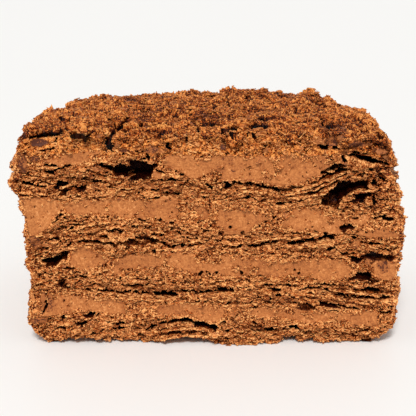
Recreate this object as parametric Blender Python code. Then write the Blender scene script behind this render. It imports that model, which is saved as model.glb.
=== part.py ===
"""A chocolate napoleon cake, cut across so that one face shows its layers.

Five flaky pastry layers and four layers of chocolate cream are stacked in turn. The top pastry layer
is a thick crust of crumbs. Every layer is its own closed solid that runs through the cake, a hair
clear of its neighbours. The cut face looks along -Y, the cake stands on z = 0, and the origin is the
middle of the box that holds it, at the bottom.

The seams between layers are surfaces over the plan. A layer is the stretch between two seams: rows of
wall points round its edge, closed above and below by the seams themselves. Air pockets are then cut
out of the cut face, and loose flakes are fused on.
"""

import math
import random

import bmesh
import bpy
import numpy as np
from mathutils import Matrix, Vector, geometry, noise

MM = 0.001

# ---- Driving sizes, in millimetres -------------------------------------------------------------

HALF_WIDTH = 65.3  # nominal, from the middle of the cut face to either side
DEPTH = 88.0  # from the cut face to the back
HEIGHT = 77.0  # from the board to the crown of the crumb crust
SEAM_GAP = 0.3  # clear space between neighbouring layers
BACK_CORNER = 14.0  # radius of the two back corners, seen from above

# The layers from the bottom up: name, kind, and how many sheets of pastry show at its edge.
LAYERS = (
    ("pastry_1", "pastry", 2),
    ("cream_1", "cream", 1),
    ("pastry_2", "pastry", 2),
    ("cream_2", "cream", 1),
    ("pastry_3", "pastry", 3),
    ("cream_3", "cream", 1),
    ("pastry_4", "pastry", 3),
    ("cream_4", "cream", 1),
    ("crumb_crust", "pastry", 2),
)

# Height of each seam on the cut face, at stations spread evenly from the left edge to the right.
STATIONS_X = np.linspace(-64.0, 64.0, 9)
SEAMS = (
    (10.0, 12.0, 10.0, 9.8, 8.0, 7.0, 6.3, 6.0, 7.5),
    (21.5, 20.3, 18.2, 16.2, 15.6, 15.5, 14.3, 13.8, 12.5),
    (27.5, 27.0, 26.0, 26.0, 25.5, 25.0, 24.5, 24.5, 24.0),
    (30.5, 36.0, 34.5, 34.5, 34.3, 33.5, 31.8, 32.0, 33.0),
    (38.0, 47.0, 46.5, 45.5, 43.0, 42.3, 41.8, 41.3, 38.5),
    (54.5, 54.5, 54.5, 53.5, 54.0, 52.5, 51.0, 49.5, 48.0),
    (64.0, 65.5, 61.0, 60.3, 59.7, 59.8, 58.7, 65.0, 65.5),
    (69.0, 70.0, 68.8, 69.3, 69.0, 69.0, 69.0, 69.5, 68.0),
)
SEAM_FADE = 26.0  # how far in from the cut face a seam's own waves die away
SEAM_WAVE = 0.9  # height of the gentle waves that every seam keeps all the way to the back
SEAM_WAVE_LENGTH = 24.0
SEAM_WAVE_APART = 10.0  # how far apart in the noise the waves of two seams are
SETTLING_ROUNDS = 4  # how often the height and the place of a seam's edge are worked out in turn
LEAST_PASTRY = 3.6  # thinnest that a layer gets where the shoulders press it down
LEAST_CREAM = 2.0

# Half width at each height, on either side, and depth at each height: (height, distance).
LEFT_PROFILE = (
    (0.0, 56.2), (2.5, 60.2), (6.0, 63.2), (12.0, 63.6), (17.0, 63.8), (22.3, 61.8), (28.0, 63.5),
    (38.0, 63.2), (46.0, 62.6), (52.0, 63.6), (58.0, 67.2), (63.0, 67.1), (70.0, 65.2), (78.0, 61.7),
)
RIGHT_PROFILE = (
    (0.0, 59.8), (3.0, 63.8), (7.0, 66.2), (12.0, 66.8), (20.0, 66.9), (30.0, 66.6), (39.0, 67.6),
    (45.5, 66.2), (49.0, 67.1), (52.0, 66.9), (56.5, 63.8), (61.0, 64.0), (68.0, 62.8), (78.0, 58.8),
)
BACK_PROFILE = ((0.0, 83.0), (3.0, 86.0), (8.0, 88.0), (60.0, 88.0), (67.0, 86.5), (78.0, 80.0))

# How far the foot of the cut face stands back from the plane of the cut: (height, distance). The crumbs
# at LIP_X, spread over LIP_SPREAD either way, stand out in front of it by LIP_OUT instead.
FOOT = ((0.0, 2.2), (3.0, 0.9), (7.0, 0.0))
LIP_X, LIP_SPREAD, LIP_OUT = 12.0, 9.0, 3.6

# The crown: how far the top falls at either side, at the cut face and at the back.
CROWN_POWER = 4
LEFT_FALL = (1.0, 10.5)
RIGHT_FALL = (4.5, 9.5)
BACK_ROUND_DEPTH = 22.0  # the last stretch of the top that rounds over to the back
BACK_ROUND_DROP = 13.0
BACK_ROUND_REACH = 0.93  # share of the quarter ellipse that the top uses before the wall takes over
# Humps and hollows of the crust: (x, distance behind the cut face, radius, lift).
HUMPS = (
    (7.8, 64.0, 6.0, 2.0),
    (18.8, 66.0, 8.0, 1.2),
    (-6.2, 66.0, 8.0, -1.2),
    (-24.2, 62.0, 12.0, -0.8),
    (36.8, 62.0, 6.0, 0.8),
    (-48.2, 8.0, 14.0, 1.2),
    (-29.2, 9.0, 7.0, -2.0),
    (21.8, 10.0, 10.0, 1.4),
    (45.8, 16.0, 8.0, -1.6),
)
LUMP_LENGTH, LUMP_HEIGHT = 9.3, 1.2  # rolling lumps
CRAG_LENGTHS, CRAG_HEIGHT = (5.3, 2.9), 1.5  # crags upon them, of two sizes
CRAG_LEVEL = 50.0  # height in the noise at which the crags are read, away from the lumps

# Ragged relief of the walls.
SHEET_ROUGHNESS = 2.1  # how unevenly the broken edges of the sheets stand out
SHEET_LENGTH, SHEET_RISE = 8.0, 2.4  # size of one such break, along the sheets and across them
CREAM_ROUGHNESS, CREAM_LENGTH = 0.45, 8.0
CUT_GROOVE = 2.8  # how deep the gap between two sheets of pastry is at the cut face
GROOVE_LENGTH = 15.0  # how far apart a groove is at its deepest and its shallowest
CREAM_RECESS = 0.5  # how far the knife has pressed the cream in behind the pastry
COAT_ROUGHNESS, COAT_LENGTH = 1.5, 6.1  # lumps of the crumbs that coat the sides and back
SEAM_ROUGHNESS, SEAM_RAGGED_LENGTH = 1.1, 6.7  # how the edges of the seams wander in and out

# The bottom sheet lifts off the board here: (x, half width, lift), reaching in from the cut face.
ARCHES = ((-46.0, 7.0, 1.8), (-6.5, 10.0, 2.2), (28.0, 4.6, 1.6), (36.8, 3.8, 1.4))
ARCH_REACH = 11.0

# Air pockets and open gaps in the cut face: (x, height, width, height across, depth, tilt in degrees).
POCKETS = (
    (-25.0, 64.2, 17.0, 6.8, 10.0, 2.0),
    (46.8, 56.8, 16.5, 5.4, 9.0, 21.0),
    (52.4, 54.9, 4.4, 2.8, 5.0, 10.0),
    (-54.0, 31.6, 8.8, 4.0, 6.0, 22.0),
    (-49.3, 59.2, 6.4, 2.8, 5.0, -8.0),
    (-42.0, 57.4, 5.0, 2.2, 4.5, 0.0),
    (48.0, 43.8, 4.6, 2.2, 4.5, -10.0),
    (51.8, 31.2, 4.6, 2.6, 5.0, 0.0),
    (54.3, 26.8, 6.4, 2.6, 6.0, 8.0),
    (-40.7, 11.2, 4.4, 2.2, 4.5, 0.0),
    (-43.6, 8.0, 3.8, 2.3, 4.0, 0.0),
)
SLITS = (
    (-13.0, 8.0, 9.0, 1.4, 7.0, 8.0),
    (-3.5, 6.6, 13.0, 1.5, 7.0, -10.0),
    (22.5, 5.2, 16.0, 1.4, 5.0, 1.0),
    (-25.0, 19.8, 26.0, 1.6, 6.0, -2.0),
    (0.0, 20.0, 18.0, 1.4, 5.0, 1.0),
    (45.5, 19.7, 13.0, 1.6, 6.0, -8.0),
    (57.0, 17.6, 13.0, 1.4, 6.0, 2.0),
    (-40.0, 38.6, 13.0, 1.5, 5.0, 1.0),
    (-9.3, 36.8, 10.0, 1.3, 5.0, 4.0),
    (19.0, 37.6, 12.0, 1.5, 5.5, 8.0),
    (38.0, 38.9, 17.0, 2.1, 6.5, 5.0),
    (16.5, 58.2, 15.0, 1.8, 6.0, -8.0),
    (41.0, 61.0, 15.0, 2.4, 6.5, 26.0),
    (27.0, 53.0, 13.0, 1.2, 5.0, 7.0),
    (-54.0, 75.9, 13.0, 1.8, 5.0, 4.0),
    (-34.0, 73.0, 6.0, 1.9, 5.0, 80.0),
    (6.8, 75.5, 6.0, 1.8, 5.0, 8.0),
    (51.7, 68.6, 10.0, 2.0, 5.5, -15.0),
)
POCKET_ROUGHNESS, POCKET_BUMPS = 0.16, 1.7  # unevenness of a pocket, and how many waves it has to its radius
POCKET_SIDES, SLIT_SIDES, POCKET_RINGS = 13, 10, 4  # corners round the mouth, and rings from end to end

# Flakes of pastry that stick out: how many, and their least and greatest length.
CUT_FLAKES = {"pastry_1": 9, "pastry_2": 10, "pastry_3": 11, "pastry_4": 11, "crumb_crust": 8}
COATED_FLAKES = {"pastry_1": 5, "pastry_2": 5, "pastry_3": 5, "pastry_4": 5, "crumb_crust": 0}
CROWN_FLAKES = 20
CUT_FLAKE_LENGTH, CROWN_FLAKE_LENGTH = (5.5, 12.0), (4.5, 10.0)
FLAKE_SLENDER = (0.45, 0.8)  # width as a share of length
FLAKE_THICKNESS = (0.8, 1.4)
FLAKE_CORNERS = 5
FLAKE_RAGGED, FLAKE_TURN, FLAKE_TAPER = 0.16, 0.4, 0.12  # how uneven its outline is, and how bevelled
FLAKE_SLANT = 0.5  # how far a flake's long way turns out of the cut face
FLAKE_OUT = (-1.0, 0.1)  # how far the middle of a flake lies outside the cut face
FLAKE_LIFT = (-0.3, 0.3)  # and outside the crumbs that it lies flat on
FLAKE_LEAN = {"cut": 0.25, "crumbs": 0.45}
CUT_SPREAD = (-0.96, 0.96)  # shares of the plan over which each kind of flake is strewn
SIDE_SPREAD, BACK_SPREAD = (0.08, 0.8), (-0.75, 0.75)
CROWN_SPREAD_X, CROWN_SPREAD_Y = (-0.9, 0.9), (0.02, 0.86)
WALL_SPREAD = (0.25, 0.75)  # and of a layer's height
LONE_FLAKE_FACING = Vector((1.0, 0.3, 0.2))
FLAKE_TRIES = 60
# Flakes that stand up against the sky: (x, distance behind the cut face, length, lean to the right).
LONE_FLAKES = ((-16.7, 66.0, 5.5, 0.9), (38.3, 60.0, 5.0, -0.5), (43.8, 52.0, 5.0, -0.9))
FLAKE_CLEARANCE = 0.45  # kept between a flake and the layer above or below
FLAKE_SEED = 11

# How finely the solids are divided.
FRONT_STEPS, SIDE_STEPS, CORNER_STEPS, BACK_STEPS = 34, 8, 3, 9
CAP_STEP = 15.0  # spacing of the points inside a seam
CROWN_STEP = 4.0  # spacing of the points on top of the crust
CAP_MARGIN = 0.45  # share of the spacing that inner points keep from the edge
CAP_SHIFT = 0.22  # share of the spacing by which inner points are out of line

# Colour and roughness of each kind of layer. The crust is the same pastry, crumbled.
COLOURS = {"pastry": (0.30, 0.115, 0.036), "cream": (0.42, 0.19, 0.085)}
ROUGHNESS = {"pastry": 0.85, "cream": 0.55}


# ---- The form of the cake ----------------------------------------------------------------------


def smooth(t):
    """An S curve from 0 to 1."""
    t = np.clip(t, 0.0, 1.0)
    return t * t * (3.0 - 2.0 * t)


def along_stations(values, x):
    """The height at x of a seam that is given at the stations, eased from each to the next."""
    place = np.clip((x - STATIONS_X[0]) / (STATIONS_X[1] - STATIONS_X[0]), 0, len(values) - 1.0001)
    first = int(place)
    share = smooth(place - first)
    return values[first] * (1 - share) + values[first + 1] * share


def profile(table, z):
    heights, distances = zip(*table)
    return float(np.interp(z, heights, distances))


def waves(x, y, z, length):
    """Smooth noise from -1 to 1, with waves of about this length."""
    return noise.noise(Vector((x, y, z)) / length)


def crown_height(x, y):
    """Height of the top of the crust. y is measured from the cut face towards the back."""
    across, back = x / HALF_WIDTH, y / DEPTH
    near, far = LEFT_FALL if x < 0 else RIGHT_FALL
    z = HEIGHT - (near + (far - near) * smooth(back)) * min(abs(across), 1.0) ** CROWN_POWER
    over = np.clip((y - (DEPTH - BACK_ROUND_DEPTH)) / BACK_ROUND_DEPTH, 0, 1) * BACK_ROUND_REACH
    z -= BACK_ROUND_DROP * (1 - math.sqrt(1 - over * over))
    for hump_x, hump_y, radius, lift in HUMPS:
        z += lift * math.exp(-((x - hump_x) ** 2 + (y - hump_y) ** 2) / radius**2)
    z += LUMP_HEIGHT * waves(x, y, 0.0, LUMP_LENGTH)
    return z + CRAG_HEIGHT * sum(waves(x, y, CRAG_LEVEL, length) for length in CRAG_LENGTHS)


def arch_height(x, y):
    """How far the bottom sheet stands off the board."""
    reach = 1 - smooth(y / ARCH_REACH)
    return sum(lift * reach * (1 - smooth(abs(x - middle) / half)) for middle, half, lift in ARCHES)


def seam_heights(x, y):
    """Heights of all the seams over one point, from the underside to the crown."""
    fade = math.exp(-max(y, 0.0) / SEAM_FADE)
    heights = [crown_height(x, y)]
    for level in range(len(SEAMS) - 1, -1, -1):
        cut = along_stations(SEAMS[level], x)
        settled = float(np.mean(SEAMS[level]))
        z = settled + (cut - settled) * fade
        z += SEAM_WAVE * (1 - fade) * waves(x, y, SEAM_WAVE_APART * level, SEAM_WAVE_LENGTH)
        least = LEAST_PASTRY if LAYERS[level + 1][1] == "pastry" else LEAST_CREAM
        heights.append(min(z, heights[-1] - least))
    heights.append(arch_height(x, y))
    return heights[::-1]


def cut_foot(x, z):
    """How far behind the plane of the cut the face is at its foot."""
    lip = LIP_OUT * math.exp(-(((x - LIP_X) / LIP_SPREAD) ** 2))
    return profile(FOOT, z) * (1 - lip / FOOT[0][1])


def placed(u, v, z):
    """The point at height z whose place in the plan is u (-1 left, 1 right) and v (0 cut face, 1 back)."""
    side = LEFT_PROFILE if u < 0 else RIGHT_PROFILE
    x = u * profile(side, z)
    front = cut_foot(x, z)
    return x, front + v * (profile(BACK_PROFILE, z) - front)


def on_seam(u, v, level):
    """The point of a seam over this place in the plan."""
    z = HEIGHT * level / len(LAYERS)
    for _ in range(SETTLING_ROUNDS):  # the wall leans, so both are settled together
        x, y = placed(u, v, z)
        z = seam_heights(x, y)[level]
    return Vector((x, y, z))


def on_edge(u, v, out, level):
    """The point of a seam's ragged edge."""
    point = on_seam(u, v, level)
    return point + Vector((*out, 0.0)) * SEAM_ROUGHNESS * waves(*point, SEAM_RAGGED_LENGTH)


def plan_ring():
    """The edge of the plan from the front left corner and to the right: (u, v, outward direction, coated)."""
    corner_u, corner_v = BACK_CORNER / HALF_WIDTH, BACK_CORNER / DEPTH
    ring = [(-1 + 2 * i / FRONT_STEPS, 0.0, (0.0, -1.0), False) for i in range(FRONT_STEPS + 1)]
    right = [((1 - corner_v) * i / SIDE_STEPS) for i in range(1, SIDE_STEPS + 1)]
    ring += [(1.0, v, (1.0, 0.0), True) for v in right]
    for i in range(1, CORNER_STEPS + 1):
        turn = math.pi / 2 * i / CORNER_STEPS
        out = (math.cos(turn), math.sin(turn))
        u = 1 - corner_u * (1 - out[0])
        v = 1 - corner_v * (1 - out[1])
        ring.append((u, v, out, True))
    straight = 1 - corner_u
    ring += [(straight * (1 - 2 * i / BACK_STEPS), 1.0, (0.0, 1.0), True) for i in range(1, BACK_STEPS)]
    right_half = [p for p in ring[FRONT_STEPS + 1 :] if p[0] > 0 and (p[1] < 1 or p[0] >= straight)]
    ring += [(-u, v, (-out[0], out[1]), True) for u, v, out, _ in reversed(right_half)]
    return ring


def plan_inside(ring, step):
    """Points inside the plan on a grid of about this spacing, clear of the edge."""
    edge = [Vector((u * HALF_WIDTH, v * DEPTH)) for u, v, _, _ in ring]
    inside = []
    columns, rows = round(2 * HALF_WIDTH / step), round(DEPTH / step)
    rng = random.Random(columns)
    for i in range(1, columns):
        for j in range(1, rows):
            point = Vector((-HALF_WIDTH + 2 * HALF_WIDTH * i / columns, DEPTH * j / rows))
            point += Vector((rng.uniform(-1, 1), rng.uniform(-1, 1))) * CAP_SHIFT * step
            if within_corners(point) and min((point - e).length for e in edge) > step * CAP_MARGIN:
                inside.append((point.x / HALF_WIDTH, point.y / DEPTH))
    return inside


def within_corners(point):
    """False outside the two rounded back corners."""
    past = Vector((abs(point.x) - (HALF_WIDTH - BACK_CORNER), point.y - (DEPTH - BACK_CORNER)))
    return min(past) < 0 or past.length < BACK_CORNER


def plan_triangles(ring, inside):
    """Triangles between the ring's points and the inner ones, counted through both lists in turn."""
    points = [Vector((u * HALF_WIDTH, v * DEPTH)) for u, v, *_ in ring]
    points += [Vector((u * HALF_WIDTH, v * DEPTH)) for u, v in inside]
    edges = [(i, (i + 1) % len(ring)) for i in range(len(ring))]
    _, _, faces, originals, _, _ = geometry.delaunay_2d_cdt(points, edges, [], 1, 1e-6)
    return [[originals[i][0] for i in face] for face in faces]


# ---- Layers ------------------------------------------------------------------------------------


def wall_rows(kind, sheets):
    """(share of the layer's height, 1 in a groove and 0 on a sheet) for the rows between two seams."""
    if kind == "cream":
        return [(0.5, 0)]
    return [(row / (2 * sheets), 1 - row % 2) for row in range(1, 2 * sheets)]


def wall_push(kind, groove, coated, point):
    """How far a wall point stands out from the nominal wall."""
    x, y, z = point
    if coated:
        return COAT_ROUGHNESS * waves(x, y, z, COAT_LENGTH)
    if kind == "cream":
        return CREAM_ROUGHNESS * waves(x, y, z, CREAM_LENGTH) - CREAM_RECESS
    depth = CUT_GROOVE * smooth(0.5 + waves(x, y, z, GROOVE_LENGTH))
    broken = waves(x, y, z * SHEET_LENGTH / SHEET_RISE, SHEET_LENGTH)
    return SHEET_ROUGHNESS * broken - groove * depth


def layer_object(level, ring, inside, crown_inside):
    """The closed solid between one seam and the next."""
    name, kind, sheets = LAYERS[level]
    crown = level == len(LAYERS) - 1
    half_gap = Vector((0, 0, SEAM_GAP / 2))
    lift_lower = half_gap if level else Vector()
    lift_upper = -half_gap if not crown else Vector()
    lower = [on_edge(u, v, out, level) + lift_lower for u, v, out, _ in ring]
    upper = [on_edge(u, v, out, level + 1) + lift_upper for u, v, out, _ in ring]
    points = list(lower)
    for share, groove in wall_rows(kind, sheets):
        for low, high, (u, v, out, coated) in zip(lower, upper, ring):
            z = low.lerp(high, share).z
            point = Vector((*placed(u, v, z), z))
            points.append(point + Vector((*out, 0.0)) * wall_push(kind, groove, coated, point))
    points += upper
    count = len(ring)
    last = len(points) - count
    faces = []
    for a in range(last):
        b = a + 1 if (a + 1) % count else a + 1 - count
        faces.append((a, b, b + count, a + count))
    top_inside = crown_inside if crown else inside
    for seam, lift, cap_inside, first, flip in (
        (level, lift_lower, inside, 0, True),
        (level + 1, lift_upper, top_inside, last, False),
    ):
        start = len(points)
        points += [on_seam(u, v, seam) + lift for u, v in cap_inside]
        for triangle in plan_triangles(ring, cap_inside):
            face = [first + i if i < count else start + i - count for i in triangle]
            faces.append(face[::-1] if flip else face)
    return mesh_object(name, points, faces)


def mesh_object(name, points, faces):
    """An object from points in millimetres."""
    mesh = bpy.data.meshes.new(name)
    mesh.from_pydata([p * MM for p in points], [], faces)
    mesh.validate()
    obj = bpy.data.objects.new(name, mesh)
    bpy.context.scene.collection.objects.link(obj)
    return obj


# ---- Air pockets and flakes --------------------------------------------------------------------


def pocket_cutter(name, place, sides):
    """An uneven ellipsoid that is half sunk in the cut face."""
    x, z, width, height, depth, tilt = place
    cutter_mesh = bmesh.new()
    bmesh.ops.create_uvsphere(cutter_mesh, u_segments=sides, v_segments=POCKET_RINGS, radius=1.0)
    turn = Matrix.Rotation(-math.radians(tilt), 3, "Y")
    for vertex in cutter_mesh.verts:
        place_in_noise = vertex.co * POCKET_BUMPS + Vector((x, z, width))
        local = vertex.co * (1 + POCKET_ROUGHNESS * waves(*place_in_noise, 1.0))
        local = turn @ Vector((local.x * width / 2, local.z * depth, -local.y * height / 2))
        vertex.co = (local + Vector((x, 0.0, z))) * MM
    mesh = bpy.data.meshes.new(name)
    cutter_mesh.to_mesh(mesh)
    cutter_mesh.free()
    cutter = bpy.data.objects.new(name, mesh)
    bpy.context.scene.collection.objects.link(cutter)
    return cutter


def flake_points(rng, centre, flat, along, length):
    """Corners of a thin uneven plate. flat is its facing direction and along its long way."""
    width = length * rng.uniform(*FLAKE_SLENDER)
    thickness = rng.uniform(*FLAKE_THICKNESS)
    across = flat.cross(along).normalized()
    along = across.cross(flat).normalized()
    corners = []
    for side in (-0.5, 0.5):
        for i in range(FLAKE_CORNERS):
            turn = 2 * math.pi * i / FLAKE_CORNERS + FLAKE_TURN * math.sin(3 * i + length)
            reach = (1 - FLAKE_RAGGED * math.sin(5 * i + 2 * length)) * (1 - FLAKE_TAPER * side) / 2
            corner = centre + along * math.cos(turn) * length * reach
            corner += across * math.sin(turn) * width * reach + flat.normalized() * thickness * side
            corners.append(corner)
    return corners


def flake_object(name, corners):
    """The plate between two rings of corners."""
    lower, upper = list(range(FLAKE_CORNERS)), list(range(FLAKE_CORNERS, 2 * FLAKE_CORNERS))
    faces = [lower[::-1], upper]
    for i in range(FLAKE_CORNERS):
        j = (i + 1) % FLAKE_CORNERS
        faces.append((lower[i], lower[j], upper[j], upper[i]))
    return mesh_object(name, corners, faces)


def clear_of_neighbours(corners, level):
    """True where the whole flake lies between its own layer's seams."""
    for corner in corners:
        heights = seam_heights(corner.x, max(corner.y, 0.0))
        if corner.z < heights[level] + FLAKE_CLEARANCE:
            return False
        if level < len(LAYERS) - 1 and corner.z > heights[level + 1] - FLAKE_CLEARANCE:
            return False
    return True


def leaning(rng, direction, lean):
    """A direction that is off by a little."""
    return direction + Vector([rng.uniform(-lean, lean) for _ in range(3)])


def cut_flake(rng, level):
    """A flake that stands out of the cut face, lying nearly flat like the sheet it came from."""
    out = Vector((0, -1, 0))
    for _ in range(FLAKE_TRIES):
        centre = within_wall(rng, rng.uniform(*CUT_SPREAD), 0.0, level)
        centre += out * rng.uniform(*FLAKE_OUT)
        along = Vector((1, rng.uniform(-FLAKE_SLANT, FLAKE_SLANT), 0))
        flat = leaning(rng, Vector((0, 0, 1)), FLAKE_LEAN["cut"])
        corners = flake_points(rng, centre, flat, along, rng.uniform(*CUT_FLAKE_LENGTH))
        if clear_of_neighbours(corners, level):
            return corners
    return None


def coat_flake(rng, level):
    """A flake that lies flat on the crumbs of a side or of the back."""
    for _ in range(FLAKE_TRIES):
        side = rng.choice((-1, 0, 1))
        u, v = (side, rng.uniform(*SIDE_SPREAD)) if side else (rng.uniform(*BACK_SPREAD), 1.0)
        out = Vector((side, 0 if side else 1, 0))
        centre = within_wall(rng, u, v, level) + out * rng.uniform(*FLAKE_LIFT)
        along = out.cross(Vector((0, 0, 1)))
        flat = leaning(rng, out, FLAKE_LEAN["crumbs"])
        corners = flake_points(rng, centre, flat, along, rng.uniform(*CROWN_FLAKE_LENGTH))
        if clear_of_neighbours(corners, level):
            return corners
    return None


def within_wall(rng, u, v, level):
    """A point on the nominal wall, well between a layer's two seams."""
    low, high = on_seam(u, v, level), on_seam(u, v, level + 1)
    z = low.lerp(high, rng.uniform(*WALL_SPREAD)).z
    return Vector((*placed(u, v, z), z))


def crown_flake(rng):
    """A flake that lies on the crumb crust, tipped a little and half sunk."""
    level = len(LAYERS) - 1
    for _ in range(FLAKE_TRIES):
        x = rng.uniform(*CROWN_SPREAD_X) * HALF_WIDTH
        y = rng.uniform(*CROWN_SPREAD_Y) * DEPTH
        centre = Vector((x, y, crown_height(x, y) + rng.uniform(*FLAKE_LIFT)))
        turn = rng.uniform(0, 2 * math.pi)
        along = Vector((math.cos(turn), math.sin(turn), 0))
        flat = leaning(rng, Vector((0, 0, 1)), FLAKE_LEAN["crumbs"])
        corners = flake_points(rng, centre, flat, along, rng.uniform(*CROWN_FLAKE_LENGTH))
        if clear_of_neighbours(corners, level):
            return corners
    return None


def lone_flake(rng, place):
    """A flake that stands up out of the crown."""
    x, y, length, lean = place
    centre = Vector((x, y, crown_height(x, y)))
    return flake_points(rng, centre, LONE_FLAKE_FACING, Vector((lean, 0.2, 1.0)), length)


def layer_flakes(level):
    """Corners of all the flakes that belong to a layer."""
    name = LAYERS[level][0]
    rng = random.Random(FLAKE_SEED + level)
    found = [cut_flake(rng, level) for _ in range(CUT_FLAKES.get(name, 0))]
    found += [coat_flake(rng, level) for _ in range(COATED_FLAKES.get(name, 0))]
    if level == len(LAYERS) - 1:
        found += [crown_flake(rng) for _ in range(CROWN_FLAKES)]
        found += [lone_flake(rng, place) for place in LONE_FLAKES]
    return [corners for corners in found if corners]


def combine(obj, others, operation):
    """Applies one Boolean with all the other objects, which are then removed."""
    if not others:
        return
    group = bpy.data.collections.new(f"{obj.name}_{operation.lower()}")
    bpy.context.scene.collection.children.link(group)
    for other in others:
        for holder in list(other.users_collection):
            holder.objects.unlink(other)
        group.objects.link(other)
    modifier = obj.modifiers.new(operation, "BOOLEAN")
    modifier.operation = operation
    modifier.operand_type = "COLLECTION"
    modifier.collection = group
    modifier.solver = "EXACT"
    bpy.context.view_layer.update()
    evaluated = obj.evaluated_get(bpy.context.evaluated_depsgraph_get())
    result = bpy.data.meshes.new_from_object(evaluated)
    obj.modifiers.remove(modifier)
    obj.data = result
    for other in others:
        bpy.data.objects.remove(other)
    bpy.data.collections.remove(group)


def keep_largest_body(obj):
    """Drops loose scraps that a cut has left."""
    mesh = bmesh.new()
    mesh.from_mesh(obj.data)
    unseen, bodies = set(mesh.verts), []
    while unseen:
        body, front = set(), [unseen.pop()]
        while front:
            vertex = front.pop()
            body.add(vertex)
            for edge in vertex.link_edges:
                other = edge.other_vert(vertex)
                if other in unseen:
                    unseen.remove(other)
                    front.append(other)
        bodies.append(body)
    largest = max(bodies, key=len)
    scraps = [v for v in mesh.verts if v not in largest]
    bmesh.ops.delete(mesh, geom=scraps, context="VERTS")
    mesh.to_mesh(obj.data)
    mesh.free()


# ---- The whole cake ----------------------------------------------------------------------------


def material(name, kind):
    made = bpy.data.materials.new(name)
    made.use_nodes = True
    shader = made.node_tree.nodes["Principled BSDF"]
    shader.inputs["Base Color"].default_value = (*COLOURS[kind], 1.0)
    shader.inputs["Roughness"].default_value = ROUGHNESS[kind]
    shader.inputs["Metallic"].default_value = 0.0
    return made


def centre_on_origin(objects):
    """Moves all the points so that the box round them stands on the origin."""
    corners = np.array([v.co for obj in objects for v in obj.data.vertices])
    low, high = corners.min(axis=0), corners.max(axis=0)
    shift = Vector((-(low[0] + high[0]) / 2, -(low[1] + high[1]) / 2, -low[2]))
    for obj in objects:
        obj.data.transform(Matrix.Translation(shift))


def cuts_into(place, obj):
    """True where a pocket reaches into a layer, by its height and by how far its tilt lifts its ends."""
    _, z, width, height, _, tilt = place
    reach = (height / 2 + width / 2 * abs(math.sin(math.radians(tilt)))) * MM
    heights = [v.co.z for v in obj.data.vertices]
    return min(heights) < z * MM + reach and max(heights) > z * MM - reach


def main():
    for obj in list(bpy.data.objects):
        bpy.data.objects.remove(obj)
    ring = plan_ring()
    inside = plan_inside(ring, CAP_STEP)
    crown_inside = plan_inside(ring, CROWN_STEP)
    layers = []
    for level, (name, kind, _) in enumerate(LAYERS):
        obj = layer_object(level, ring, inside, crown_inside)
        flakes = [
            flake_object(f"{name}_flake_{i}", corners) for i, corners in enumerate(layer_flakes(level))
        ]
        combine(obj, flakes, "UNION")
        places = [(place, POCKET_SIDES) for place in POCKETS] + [(place, SLIT_SIDES) for place in SLITS]
        cutters = [
            pocket_cutter(f"{name}_pocket_{i}", place, sides)
            for i, (place, sides) in enumerate(places)
            if cuts_into(place, obj)
        ]
        combine(obj, cutters, "DIFFERENCE")
        keep_largest_body(obj)
        obj.data.materials.clear()
        obj.data.materials.append(material(name, kind))
        layers.append(obj)
    centre_on_origin(layers)


main()
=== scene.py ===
"""Looks of a chocolate napoleon cake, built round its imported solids.

Every layer's solid is read with rays and remade as a fine skin: flaky pastry and smooth cream where the
knife has passed, and a coat of crumbs on the top, the sides and the back. Sheets, chips and flakes of
pastry are then strewn over it. Lengths are in millimetres until a mesh is made. x runs to the right along
the cut face, y into the cake and z upwards.
"""

import math

import bpy
import numpy as np
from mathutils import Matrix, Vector
from mathutils.bvhtree import BVHTree


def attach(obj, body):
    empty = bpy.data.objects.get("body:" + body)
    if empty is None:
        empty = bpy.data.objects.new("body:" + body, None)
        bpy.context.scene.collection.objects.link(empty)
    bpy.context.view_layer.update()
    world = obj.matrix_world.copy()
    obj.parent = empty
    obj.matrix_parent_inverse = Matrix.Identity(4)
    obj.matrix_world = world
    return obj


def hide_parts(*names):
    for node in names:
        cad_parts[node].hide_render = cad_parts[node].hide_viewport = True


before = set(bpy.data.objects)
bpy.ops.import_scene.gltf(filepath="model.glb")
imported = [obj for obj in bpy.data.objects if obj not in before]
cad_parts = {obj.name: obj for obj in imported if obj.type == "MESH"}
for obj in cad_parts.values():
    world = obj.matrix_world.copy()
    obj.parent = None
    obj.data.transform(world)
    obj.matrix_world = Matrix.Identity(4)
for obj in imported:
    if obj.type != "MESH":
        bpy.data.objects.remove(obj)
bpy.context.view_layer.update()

MM = 0.001
LAYERS = (
    "pastry_1", "cream_1", "pastry_2", "cream_2", "pastry_3", "cream_3", "pastry_4", "cream_4", "crumb_crust",
)
KIND = {name: name.split("_")[0] for name in LAYERS} | {"crumb_crust": "crust"}
RIGHT, BACK, UP = np.eye(3)

# ---- Sizes, in millimetres ---------------------------------------------------------------------

FACE_Y = -43.0  # the plane of the cut
MIDDLE_X = -0.16  # the middle of the cut face
WIDTH, DEPTH = 131.0, 88.0  # of the plan, for the spacing of the skin's points
FRONT_CORNER, BACK_CORNER = 2.0, 14.0  # radii of the plan's corners
HIGHEST = 84.0  # no solid reaches this high
LENS, SENSOR = 91.7, 36.0
CAMERA_BACK, CAMERA_UP, CAMERA_DOWN = 346.1, 157.8, 17.2  # in front of the cut, above the floor, and degrees

# How the solids are read.
RAY_START, RAY_REACH = 16.0, 34.0  # rays start this far outside the walls
RAY_MARGIN = 0.6  # rays keep this far from the seams, whose edges are ragged
LEANS_ABOVE = 68.0  # the walls lean back above this height
SEAM_STEP, SEAM_EDGE = 0.25, 0.12  # heights between rays, and from the outermost one to the solid's edge
COAT_STEP = 1.0  # heights between the rays that read the coated walls
HOLLOWS, MORE_LOW, LOW = 1.5, 2.2, 7.0  # the cut face's hollows are read to this depth, and deeper below LOW
RIM_BACK = 2.6  # the crown begins where the wall has leant back this far
CROWN_FROM, CROWN_REACH, CROWN_LEAST = 120.0, 100.0, 50.0  # rays fall from here, this far; the crown is higher

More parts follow.
